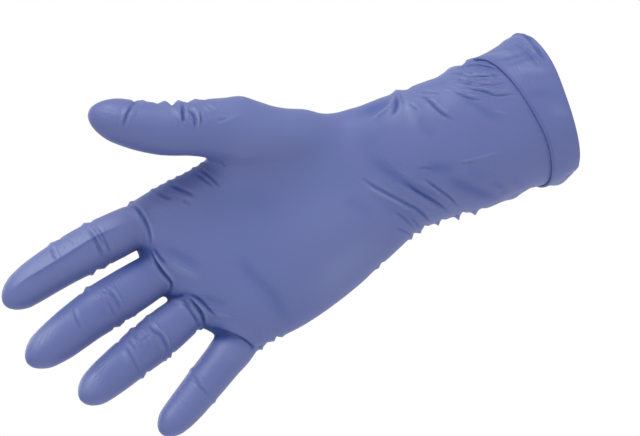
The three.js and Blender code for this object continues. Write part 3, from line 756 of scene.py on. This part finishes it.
# Fine crinkles, finer than the mesh, lie beside the folds: right, up, reach along the
# crinkles and across them, their turn in degrees, and how strong they are.
CRINKLES = [
    (55, 24.5, 13, 7, -28, 1.4), (31, 27, 10, 5, -25, 0.8), (12, -14, 22, 11, -52, 0.6),
    (44, -20, 15, 9, -45, 0.4), (-72, 56, 8, 9, 84, 0.8), (-60, 53, 8, 5, -55, 0.7),
    (-97, 66, 7, 4, 48, 0.7), (-130, 17, 11, 5, -83, 0.9), (-150.5, 20, 7, 4, -88, 0.6),
    (-141, 21, 5, 4, -70, 0.4), (-134, -9, 10, 6, -76, 0.8), (-151, -11, 8, 4, -88, 0.4),
    (-125, -33, 10, 9, -72, 0.9), (-134, -38, 8, 4, -88, 0.5), (-110, -60, 8, 4, -64, 0.6),
    (-120, -65, 8, 5, -60, 0.3), (-88, 25, 8, 12, -52, 0.6), (-73, 26, 8, 5, -62, 0.6),
    (-99, -4, 12, 6, -48, 0.5), (-92, -28, 12, 6, -40, 0.6), (-72, -49, 5, 10, 80, 0.5),
    (-64, -36, 14, 5, -75, 0.4), (18, 28, 6, 5, 60, 0.5), (81, 28, 10, 5, -66, 0.9),
    (76, 18, 12, 7, -70, 0.4), (78, -22, 8, 6, -60, 0.4), (-165, 14, 8, 4, 12, 0.3),
    (-168, -14, 7, 5, 40, 0.5), (-152, -40, 8, 5, 30, 0.6), (-106, 69, 8, 5, -30, 0.4),
]
CRINKLE_LENGTH, CRINKLE_WIDTH, CRINKLE_DEPTH = 8.0, 1.5, 22.0


def mark_crinkles(mesh):
    """Gives a mesh its crinkles' strength, and places that run along and across them."""
    places = np.empty(3 * len(mesh.vertices))
    mesh.vertices.foreach_get("co", places)
    places = places.reshape(-1, 3) * 1000
    seen_right, seen_up = as_seen(places)
    strength, next_strength = np.zeros(len(places)), np.zeros(len(places))
    lie = np.zeros((len(places), 3))
    for *patch, amount in CRINKLES:
        a, b = within(patch, seen_right, seen_up)
        here = amount * np.exp(-(a * a + b * b)**1.5)
        more = here > strength
        next_strength = np.where(more, strength, np.maximum(next_strength, here))
        strength[more] = here[more]
        lie[more] = np.stack([a * patch[2] / CRINKLE_LENGTH, b * patch[3] / CRINKLE_WIDTH,
                              places[:, 1] / CRINKLE_DEPTH + patch[0]], 1)[more]
    strength -= next_strength
    mesh.attributes.new("crinkle", "FLOAT", "POINT").data.foreach_set("value", strength)
    mesh.attributes.new("lie", "FLOAT_VECTOR", "POINT").data.foreach_set("vector", lie.ravel())


# Swells that the former leaves in the film: x, z, how far it rises, its reach in x and in
# z, and whether it lies on the palm side or the back.
SWELLS = [
    (-44, 27, 1.0, 26, 13, "palm"), (-34, -18, 0.8, 26, 12, "palm"),
    (-88, 14, 0.6, 9, 10, "palm"), (-90, -10, 0.6, 9, 10, "palm"),
    (-82, -32, 0.6, 9, 9, "palm"), (-58, 2, -0.3, 22, 12, "palm"),
    (-106, 19, 1.5, 9, 8, "back"), (-108, -5, 1.6, 9, 8, "back"),
    (-100, -27, 1.4, 9, 8, "back"), (-86, -47, 1.2, 9, 8, "back"),
    (-60, 0, 1.0, 30, 26, "back"), (-30, 30, 0.8, 14, 10, "back"),
]
toward_palm = np.clip(-film_normals[:, 1] * 1.4, 0, 1)
toward_back = np.clip(film_normals[:, 1] * 1.4, 0, 1)
for x, z, rise, reach_x, reach_z, side in SWELLS:
    bell = np.exp(-((film_points[:, 0] - x) / reach_x)**2 - ((film_points[:, 2] - z) / reach_z)**2)
    lift += rise * bell * (toward_palm if side == "palm" else toward_back)

# Slack: the film lies in faint waves, larger on the loose sleeve than on the fingers, and
# nearly still where the cuff's band presses on it.
WAVE_LENGTH, FINE_WAVE_LENGTH, FINE_SHARE = 17.0, 6.5, 0.35
TIGHT, MORE_ON_SLEEVE = 0.20, 0.30
LOOSE_FROM_X, LOOSE_FADE = -8, 9
BAND_FROM_X, BAND_FADE, HELD_STILL = 58, 8, 0.85
wave = np.array([noise.noise(Vector(p) / WAVE_LENGTH) for p in film_points.tolist()])
fine_wave = np.array([noise.noise(Vector(p) / FINE_WAVE_LENGTH) for p in film_points.tolist()])
slack = TIGHT + MORE_ON_SLEEVE / (1 + np.exp(-(film_points[:, 0] - LOOSE_FROM_X) / LOOSE_FADE))
under_band = np.clip((film_points[:, 0] - BAND_FROM_X) / BAND_FADE, 0, 1)
still = 1 - HELD_STILL * under_band
lift += (slack * wave + FINE_SHARE * slack * fine_wave) * still
film_shape = film_points + film_normals * lift[:, None]

# Film wall
# The film has an outer face and an inner one, which lies deeper in the palm and fingers,
# clear of their folds. They meet in a rim that the turned-over cuff hides.
WALL, DEEP_WALL = 1.0, 1.9
DEEP_UP_TO_X, DEEP_FADE = 20, 8
CLEARING_POINTS = 12


def sheet_mesh(name, places, faces):
    """A mesh in metres from places in millimetres."""
    mesh = bpy.data.meshes.new(name)
    mesh.from_pydata((np.asarray(places) / 1000).tolist(), [], np.asarray(faces).tolist())
    return mesh


def open_at_cuff(bm):
    """Cuts one face of the film square, where the cuff covers the cut, and drops loose bits."""
    bmesh.ops.bisect_plane(bm, geom=bm.verts[:] + bm.edges[:] + bm.faces[:], dist=1e-7,
                           plane_co=(FILM_CUT_X / 1000, 0, 0), plane_no=(1, 0, 0),
                           clear_outer=True)
    reached = [min(bm.verts, key=lambda vertex: vertex.co.x)]
    kept = set(reached)
    for vertex in reached:
        for edge in vertex.link_edges:
            other = edge.other_vert(vertex)
            if other not in kept:
                kept.add(other)
                reached.append(other)
    bmesh.ops.delete(bm, geom=[vertex for vertex in bm.verts if vertex not in kept],
                     context="VERTS")


def rim_loop(edges):
    """The vertices of an open rim in order round it, and the turn at which each one lies."""
    left = set(edges[1:])
    loop = list(edges[0].verts)
    while left:
        step = next(edge for edge in loop[-1].link_edges if edge in left)
        left.discard(step)
        loop.append(step.other_vert(loop[-1]))
    loop.pop()
    middle = sum((v.co for v in loop), Vector()) / len(loop)
    turn = {v: math.atan2(v.co.y - middle.y, v.co.z - middle.z) for v in loop}
    first = loop.index(min(loop, key=turn.get))
    loop = loop[first:] + loop[:first]
    if turn[loop[len(loop) // 8]] > turn[loop[-len(loop) // 8]]:
        loop = loop[:1] + loop[:0:-1]
    return loop, [turn[v] for v in loop] + [turn[loop[0]] + 2 * math.pi]


def close_rim(bm, outer, outer_turns, inner, inner_turns):
    """Joins two rims of unlike counts by triangles, both walked once round side by side."""
    i = j = 0
    while i < len(outer) or j < len(inner):
        a, b = outer[i % len(outer)], inner[j % len(inner)]
        if j == len(inner) or (i < len(outer) and outer_turns[i + 1] <= inner_turns[j + 1]):
            i += 1
            bm.faces.new((a, outer[i % len(outer)], b))
        else:
            j += 1
            bm.faces.new((a, inner[j % len(inner)], b))


inner_points, inner_quads = film_surface(2)
nearby = KDTree(len(film_points))
for i, place in enumerate(film_points.tolist()):
    nearby.insert(place, i)
nearby.balance()
inner_lift = np.array([min(lift[i] for _, i, _ in nearby.find_n(place, CLEARING_POINTS))
                       for place in inner_points.tolist()])
deeper = 1 / (1 + np.exp((inner_points[:, 0] - DEEP_UP_TO_X) / DEEP_FADE))
depth = WALL + (DEEP_WALL - WALL) * deeper
inner_shape = inner_points + normals_at(inner_points) * (inner_lift - depth)[:, None]

# Each film point keeps its painted shade and light as a point attribute.
painted_shade_light = bm.verts.layers.float.new("painted_shade_light")
for vertex, place, value in zip(bm.verts, (film_shape / 1000).tolist(), film_painted_shade_light.tolist()):
    vertex.co = place
    vertex[painted_shade_light] = value
open_at_cuff(bm)
outer_rim = [edge for edge in bm.edges if edge.is_boundary]
outer_loop, outer_turns = rim_loop(outer_rim)
inner = bmesh.new()
inner_mesh = sheet_mesh("inner_face", inner_shape, inner_quads)
inner.from_mesh(inner_mesh)
open_at_cuff(inner)
inner.to_mesh(inner_mesh)
inner.free()
bm.from_mesh(inner_mesh)
bpy.data.meshes.remove(inner_mesh)
outer_edges = set(outer_rim)
inner_rim = [edge for edge in bm.edges if edge.is_boundary and edge not in outer_edges]
inner_loop, inner_turns = rim_loop(inner_rim)
close_rim(bm, outer_loop, outer_turns, inner_loop, inner_turns)
bmesh.ops.recalc_face_normals(bm, faces=bm.faces[:])
film_mesh = bpy.data.meshes.new("glove_film")
bm.to_mesh(film_mesh)
bm.free()
film_mesh.shade_smooth()
mark_crinkles(film_mesh)
film = bpy.data.objects.new("glove_film", film_mesh)
bpy.context.collection.objects.link(film)
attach(film, "root")
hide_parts("glove")

# Turned-over cuff
# The end of the sleeve is folded outward once over itself. The band lies loose on the
# sleeve, is widest at the thumb side, and stands off a little where it turns.
BAND_GAP, BAND_FILM = 0.45, 0.40
LIP_X, LIP_TURN_X = 68.0, 84.6
LIP_SWELL, LIP_SWELL_TURN, LIP_SWELL_REACH = 1.1, 60.0, 24.0
LIP_GAP = 0.1
HOOK_LENGTH, HOOK_RISE = 0.8, 0.25
CUFF_TURNS = 300
BAND_STEPS, TURN_STEPS, LIP_STEPS, INNER_STEPS = 26, 9, 9, 5
BAND_PUFF = 0.55

# Where the hem runs: turn in degrees from the thumb side over the palm side, and x.
HEM = table("turn x", [(0, 58.2), (7, 59.8), (15, 61.6), (26, 63.3), (38, 64.3), (50, 65.2),
                       (66, 66.6), (80, 68.0), (93, 69.4), (105, 70.6), (118, 71.2),
                       (150, 71.4), (180, 71.8), (210, 71.6), (250, 70.2), (290, 67.0),
                       (320, 63.4), (345, 59.6), (360, 58.2)])

# Folds of the band: from x and turn to x and turn in degrees from the thumb side over
# the palm side, width and rise.
BAND_FOLDS = [
    (79.0, -14, 85.0, 10, 1.0, -1.00), (85.0, 10, 83.1, 34, 0.8, -1.00),
    (83.1, 34, 83.9, 55, 0.8, -0.90), (77.0, -6, 82.5, 14, 1.6, 0.60),
    (82.5, 14, 81.6, 44, 1.1, 0.55), (77.6, 24, 79.6, 58, 0.8, -0.40),
    (79.4, 38, 81.2, 56, 0.7, -0.35), (73.8, 20, 74.6, 40, 0.9, -0.25),
    (63.0, 8, 74.0, 34, 2.4, 0.60), (66.0, 30, 79.0, 42, 1.6, -0.55),
    (68.0, 42, 82.0, 50, 1.4, -0.40), (72.0, 55, 83.0, 66, 2.2, 0.35),
    (69.5, 78, 80.0, 84, 2.2, -0.25), (76.0, 92, 85.0, 100, 2.4, 0.30),
    (78.0, 150, 85.0, 156, 1.6, 0.75), (79.0, 164, 85.5, 170, 1.5, -0.70),
    (74.0, 178, 84.0, 180, 2.2, 1.10), (64.0, 0, 77.0, 0, 3.0, 0.80),
    (72.0, 206, 84.0, 214, 2.4, -0.50), (70.0, 238, 83.0, 246, 2.6, 0.50),
    (70.0, 262, 84.0, 272, 2.4, -0.45), (68.0, 292, 82.0, 300, 2.2, 0.50),
    (64.0, 318, 80.0, 330, 2.2, -0.55),
]


def hem_x(turn):
    """Where the hem of the band lies at a turn in radians."""
    return np.interp(np.degrees(turn) % 360, HEM["turn"], HEM["x"])


def band_folds(x, turn):
    """How far the folds lift the band at x and a turn in radians."""
    around = SLEEVE_BREADTH / 2
    lift = np.zeros(np.broadcast(x, turn).shape)
    for from_x, from_turn, to_x, to_turn, width, rise in BAND_FOLDS:
        start = math.radians(from_turn)
        bend = (turn - start + math.pi) % (2 * math.pi) - math.pi
        ux, uy = to_x - from_x, math.radians(to_turn - from_turn) * around
        px, py = x - from_x, bend * around
        t = np.clip((px * ux + py * uy) / (ux * ux + uy * uy), 0, 1)
        gap = np.hypot(px - t * ux, py - t * uy)
        lift += rise * np.exp(-(gap / width)**2) * np.sin(np.pi * (0.12 + 0.76 * t))
    return lift


def band_lift(x, turn):
    """How far folds and the loose lie lift the band."""
    return band_folds(x, turn) + 0.22 * np.sin(3 * turn + 0.6) + 0.14 * np.sin(7 * turn + x / 9)


def skin_place(x, turn, offset):
    """Places on the sleeve's skin at x and turn, moved outward by an offset."""
    middle_z, half_breadth, middle_y, half_depth, _ = skin_section(np.minimum(x, SLEEVE_LENGTH))
    across = np.sign(np.cos(turn)) * np.abs(np.cos(turn))**(2 / OVAL)
    deep = np.sign(np.sin(turn)) * np.abs(np.sin(turn))**(2 / OVAL)
    grow = offset + flare(x) * ((1 + np.cos(turn)) / 2)**5
    return np.stack([x + 0 * turn, middle_y - (half_depth + grow) * deep,
                     middle_z + (half_breadth + grow) * across], -1)


def cuff_section(turn):
    """Places round the folded film at one turn: out over the band, round the mouth, in."""
    start = hem_x(turn)
    outside, inside = BAND_GAP + BAND_FILM, -WALL - LIP_GAP
    middle = (outside + inside) / 2
    swell = LIP_SWELL * math.exp(-((math.degrees(turn) - LIP_SWELL_TURN) / LIP_SWELL_REACH)**2)
    end = LIP_TURN_X + swell
    run = np.linspace(start, end, BAND_STEPS)
    puff = BAND_PUFF * np.sin(np.pi * np.clip((run - start) / (SLEEVE_LENGTH - start), 0, 1))
    lift = band_lift(run, turn) * np.clip((run - start) / 3, 0.35, 1) + puff
    xs, offsets = [run], [outside + lift]
    bend = np.linspace(math.pi / 2, -math.pi / 2, TURN_STEPS)[1:]
    radius = outside - middle
    end_lift = lift[-1] * (1 + np.sin(bend)) / 2
    xs.append(end + radius * np.cos(bend))
    offsets.append(middle + radius * np.sin(bend) + end_lift)
    lip = np.linspace(end, LIP_X, LIP_STEPS)[1:]
    xs.append(lip)
    offsets.append(np.full(len(lip), inside))
    xs.append(np.array([LIP_X - HOOK_LENGTH]))
    offsets.append(np.array([inside + HOOK_RISE]))
    back = np.linspace(LIP_X, end, INNER_STEPS)
    xs.append(back)
    offsets.append(np.full(len(back), inside + BAND_FILM))
    bend = np.linspace(-math.pi / 2, math.pi / 2, INNER_STEPS)[1:-1]
    radius = radius - BAND_FILM
    xs.append(end + radius * np.cos(bend))
    offsets.append(middle + radius * np.sin(bend) + lift[-1] * (1 + np.sin(bend)) / 2)
    under = run[::-1]
    xs.append(under)
    offsets.append(BAND_GAP + lift[::-1])
    return skin_place(np.concatenate(xs), np.full(sum(map(len, xs)), turn), np.concatenate(offsets))


def ring_faces(turns, sides):
    """Quads over a closed ring of closed sections."""
    faces = []
    for i in range(turns):
        here, there = i * sides, (i + 1) % turns * sides
        for j in range(sides):
            k = (j + 1) % sides
            faces.append((here + j, here + k, there + k, there + j))
    return faces


turns = np.linspace(0, 2 * math.pi, CUFF_TURNS, endpoint=False)
sections = np.array([cuff_section(turn) for turn in turns])
cuff_mesh = sheet_mesh("turned_cuff", sections.reshape(-1, 3),
                       ring_faces(CUFF_TURNS, sections.shape[1]))
bm = bmesh.new()
bm.from_mesh(cuff_mesh)
bmesh.ops.recalc_face_normals(bm, faces=bm.faces[:])
bm.to_mesh(cuff_mesh)
bm.free()
cuff_mesh.shade_smooth()
# Painted shade in the band's fold hollows and painted light on their crests. The band is also a
# little deeper and bluer toward the thumb side.
cuff_painted_shade_light = 0.5 + 0.32 * band_folds(sections[..., 0], turns[:, None])
cuff_painted_shade_light -= 0.08 * ((1 + np.cos(turns[:, None])) / 2)**4
cuff_mesh.attributes.new("painted_shade_light", "FLOAT", "POINT").data.foreach_set(
    "value", np.clip(cuff_painted_shade_light, 0.05, 0.8).ravel())
mark_crinkles(cuff_mesh)
cuff = bpy.data.objects.new("turned_cuff", cuff_mesh)
bpy.context.collection.objects.link(cuff)
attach(cuff, "root")
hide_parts("glove")

# Rolled bead
# The rim of the film is rolled up into a thin bead when the glove is made. It now lies
# along the hem of the band. A round section follows the hem, with its radius as an input.
BEAD_RADIUS = 0.72
BEAD_SIDES = 10


def bead_tree(finish):
    """Geometry Nodes that sweep a round bead along a line."""
    tree = bpy.data.node_groups.new("bead_along_hem", "GeometryNodeTree")
    tree.interface.new_socket("Line", in_out="INPUT", socket_type="NodeSocketGeometry")
    radius = tree.interface.new_socket("Radius", in_out="INPUT", socket_type="NodeSocketFloat")
    sides = tree.interface.new_socket("Sides", in_out="INPUT", socket_type="NodeSocketInt")
    tree.interface.new_socket("Bead", in_out="OUTPUT", socket_type="NodeSocketGeometry")
    nodes, links = tree.nodes, tree.links
    given = nodes.new("NodeGroupInput")
    to_curve = nodes.new("GeometryNodeMeshToCurve")
    circle = nodes.new("GeometryNodeCurvePrimitiveCircle")
    sweep = nodes.new("GeometryNodeCurveToMesh")
    smooth = nodes.new("GeometryNodeSetShadeSmooth")
    realize = nodes.new("GeometryNodeRealizeInstances")
    paint = nodes.new("GeometryNodeSetMaterial")
    paint.inputs["Material"].default_value = finish
    result = nodes.new("NodeGroupOutput")
    links.new(given.outputs["Line"], to_curve.inputs["Mesh"])
    links.new(given.outputs["Radius"], circle.inputs["Radius"])
    links.new(given.outputs["Sides"], circle.inputs["Resolution"])
    links.new(to_curve.outputs["Curve"], sweep.inputs["Curve"])
    links.new(circle.outputs["Curve"], sweep.inputs["Profile Curve"])
    links.new(sweep.outputs["Mesh"], smooth.inputs["Geometry"])
    links.new(smooth.outputs["Geometry"], realize.inputs["Geometry"])
    links.new(realize.outputs["Geometry"], paint.inputs["Geometry"])
    links.new(paint.outputs["Geometry"], result.inputs["Bead"])
    return tree, radius.identifier, sides.identifier


# Nitrile finish
# Dipped nitrile is a violet-blue satin film. Painted light makes it paler on ridges and lit places,
# and painted shade makes it deeper and bluer in folds and shaded hollows. It has a fine grain left
# by the former.
CRINKLE_RISE = 0.30


class Signal:
    """One output of a material's nodes. Arithmetic on it adds Math nodes."""

    def __init__(self, tree, socket):
        self.tree, self.socket = tree, socket

    def math(self, operation, *others):
        node = make(self.tree, "ShaderNodeMath", {"operation": operation},
                    dict(enumerate((self,) + others)))
        return Signal(self.tree, node.outputs[0])

    def __add__(self, other):
        return self.math("ADD", other)

    def __radd__(self, other):
        return self.math("ADD", other)

    def __sub__(self, other):
        return self.math("SUBTRACT", other)

    def __rsub__(self, other):
        return (self * -1.0).math("ADD", other)

    def __mul__(self, other):
        return self.math("MULTIPLY", other)

    def __rmul__(self, other):
        return self.math("MULTIPLY", other)


def make(tree, kind, settings, sockets):
    """Adds a node, first its settings, then its sockets' values or links."""
    node = tree.nodes.new(kind)
    for name, value in settings.items():
        setattr(node, name, value)
    for name, value in sockets.items():
        if isinstance(value, Signal):
            tree.links.new(value.socket, node.inputs[name])
        else:
            node.inputs[name].default_value = value
    return node


def nitrile_finish():
    """Satin violet-blue film with painted shade and light and crinkles from the mesh's own
    attributes.
    """
    finish = bpy.data.materials.new("nitrile_satin")
    finish.use_nodes = True
    tree = finish.node_tree
    tree.nodes.clear()

    def signal(kind, output, settings=None, **sockets):
        named = {name.replace("_", " "): value for name, value in sockets.items()}
        return Signal(tree, make(tree, kind, settings or {}, named).outputs[output])

    def mixed(share, first, second):
        node = make(tree, "ShaderNodeMix", {"data_type": "RGBA"}, {0: share, 6: first, 7: second})
        return Signal(tree, node.outputs[2])

    place = signal("ShaderNodeTexCoord", "Object")
    clouds = signal("ShaderNodeTexNoise", "Fac", Vector=place, Scale=22.0, Detail=2.0)
    blotches = signal("ShaderNodeTexNoise", "Fac", Vector=place, Scale=95.0, Detail=3.0)
    grain = signal("ShaderNodeTexNoise", "Fac", Vector=place, Scale=1500.0, Detail=2.0)
    fine_grain = signal("ShaderNodeTexNoise", "Fac", Vector=place, Scale=4200.0, Detail=1.0)
    painted_shade_light = signal("ShaderNodeAttribute", "Fac", {"attribute_name": "painted_shade_light"})

    violet, blue = (0.124, 0.144, 0.357, 1), (0.103, 0.140, 0.350, 1)
    # deep is the colour of painted shade, and pale is the colour of painted light.
    deep, pale = (0.036, 0.074, 0.270, 1), (0.232, 0.280, 0.480, 1)
    tint = clouds * 0.7 + blotches * 0.5 - 0.1
    body = mixed(tint, blue, violet)
    # Below 0.5 the film takes painted shade, and above 0.5 it takes painted light.
    painted_shade_share = (1.0 - painted_shade_light * 2.0).math("MINIMUM", 1.0).math("MAXIMUM", 0.0)
    body = mixed(painted_shade_share, body, deep)
    painted_light_share = (painted_shade_light * 2.0 - 1.0).math("MINIMUM", 1.0).math("MAXIMUM", 0.0)
    body = mixed(painted_light_share, body, pale)
    lie = signal("ShaderNodeAttribute", "Vector", {"attribute_name": "lie"})
    crinkle = signal("ShaderNodeAttribute", "Fac", {"attribute_name": "crinkle"})
    crimp = signal("ShaderNodeTexNoise", "Fac", Vector=lie, Scale=1.0, Detail=1.5)
    crest = 1.0 - (crimp * 2.0 - 1.0).math("ABSOLUTE")
    crinkles = crest * crest * crest * crest * crinkle
    rough = 0.40 + blotches * 0.10 + grain * 0.04 + painted_shade_share * 0.45
    relief = grain * 0.012 + fine_grain * 0.008 + crinkles * CRINKLE_RISE
    bump = signal("ShaderNodeBump", "Normal", Height=relief, Strength=1.0, Distance=0.001)
    skin = make(tree, "ShaderNodeBsdfPrincipled", {}, {
        "Base Color": body, "Roughness": rough, "Normal": bump, "IOR": 1.5})
    out = make(tree, "ShaderNodeOutputMaterial", {}, {})
    tree.links.new(skin.outputs[0], out.inputs["Surface"])
    return finish


nitrile = nitrile_finish()
film_mesh.materials.append(nitrile)
cuff_mesh.materials.append(nitrile)

hem = skin_place(hem_x(turns), turns, BAND_GAP + BAND_FILM / 2
                 + np.array([0.35 * band_lift(hem_x(turn), turn) for turn in turns]))
hem_line = bpy.data.meshes.new("hem_line")
hem_line.from_pydata((hem / 1000).tolist(),
                     [(i, (i + 1) % CUFF_TURNS) for i in range(CUFF_TURNS)], [])
bead = bpy.data.objects.new("hem_bead", hem_line)
bpy.context.collection.objects.link(bead)
tree, radius_input, sides_input = bead_tree(nitrile)
sweep = bead.modifiers.new("bead", "NODES")
sweep.node_group = tree
sweep[radius_input] = BEAD_RADIUS / 1000
sweep[sides_input] = BEAD_SIDES
bead_mesh = bpy.data.meshes.new_from_object(
    bead.evaluated_get(bpy.context.evaluated_depsgraph_get()))
bead.modifiers.remove(sweep)
# The bead is evenly a little darker and bluer, by a share of the deep colour.
bead_mesh.attributes.new("painted_shade_light", "FLOAT", "POINT").data.foreach_set(
    "value", np.full(len(bead_mesh.vertices), 0.4))
mark_crinkles(bead_mesh)
bead.data = bead_mesh
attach(bead, "root")
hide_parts("glove")

# Studio
# A pale floor well below, soft pale light from the upper left and the front, and the
# camera at the height of the wrist, turned a little and rolled as the view is.
FLOOR_Z, FLOOR_HALF = -0.45, 2.4
ROLL = math.radians(21)
FOCAL_LENGTH = 187.5

floor_mesh = bpy.data.meshes.new("floor")
floor_mesh.from_pydata([(-FLOOR_HALF, -FLOOR_HALF, FLOOR_Z), (FLOOR_HALF, -FLOOR_HALF, FLOOR_Z),
                        (FLOOR_HALF, FLOOR_HALF, FLOOR_Z), (-FLOOR_HALF, FLOOR_HALF, FLOOR_Z)],
                       [], [(0, 1, 2, 3)])
floor = bpy.data.objects.new("floor", floor_mesh)
bpy.context.collection.objects.link(floor)
pale_floor = bpy.data.materials.new("pale_floor")
pale_floor.use_nodes = True
floor_skin = pale_floor.node_tree.nodes["Principled BSDF"]
floor_skin.inputs["Base Color"].default_value = (0.85, 0.85, 0.85, 1)
floor_skin.inputs["Roughness"].default_value = 0.9
floor_mesh.materials.append(pale_floor)

world = bpy.data.worlds.new("studio")
bpy.context.scene.world = world
world.use_nodes = True
sky = world.node_tree
sky.nodes.clear()
path = make(sky, "ShaderNodeLightPath", {}, {})
soft = make(sky, "ShaderNodeBackground", {}, {"Color": (0.95, 0.97, 1.0, 1), "Strength": 0.80})
white = make(sky, "ShaderNodeBackground", {}, {"Color": (1, 1, 1, 1), "Strength": 1.0})
either = make(sky, "ShaderNodeMixShader", {}, {
    0: Signal(sky, path.outputs["Is Camera Ray"]), 1: Signal(sky, soft.outputs[0]),
    2: Signal(sky, white.outputs[0])})
make(sky, "ShaderNodeOutputWorld", {}, {"Surface": Signal(sky, either.outputs[0])})


def softbox(name, place, aim, size, power):
    """A square area light at a place, turned to its aim."""
    light = bpy.data.lights.new(name, "AREA")
    light.shape = "SQUARE"
    light.size = size
    light.energy = power
    lamp = bpy.data.objects.new(name, light)
    lamp.location = place
    lamp.rotation_euler = (Vector(place) - Vector(aim)).to_track_quat("Z", "Y").to_euler()
    bpy.context.collection.objects.link(lamp)


GLOVE_MIDDLE = (-0.05, 0.0, 0.0)
softbox("key", (-0.15, -0.60, 1.15), GLOVE_MIDDLE, 0.8, 9.0)
softbox("fill", (-0.55, 1.10, 0.60), GLOVE_MIDDLE, 1.0, 4.0)

eye = bpy.data.cameras.new("eye")
eye.lens = FOCAL_LENGTH
eye.sensor_width = 36.0
eye.clip_end = 20.0
camera = bpy.data.objects.new("eye", eye)
right = math.cos(ROLL) * VIEW_RIGHT - math.sin(ROLL) * VIEW_UP
up = math.sin(ROLL) * VIEW_RIGHT + math.cos(ROLL) * VIEW_UP
camera.matrix_world = Matrix([
    (right[i], up[i], VIEW_BACK[i], VIEW_FROM[i] / 1000) for i in range(3)] + [(0, 0, 0, 1)])
bpy.context.collection.objects.link(camera)
bpy.context.scene.camera = camera
bpy.context.scene.view_settings.view_transform = "Standard"
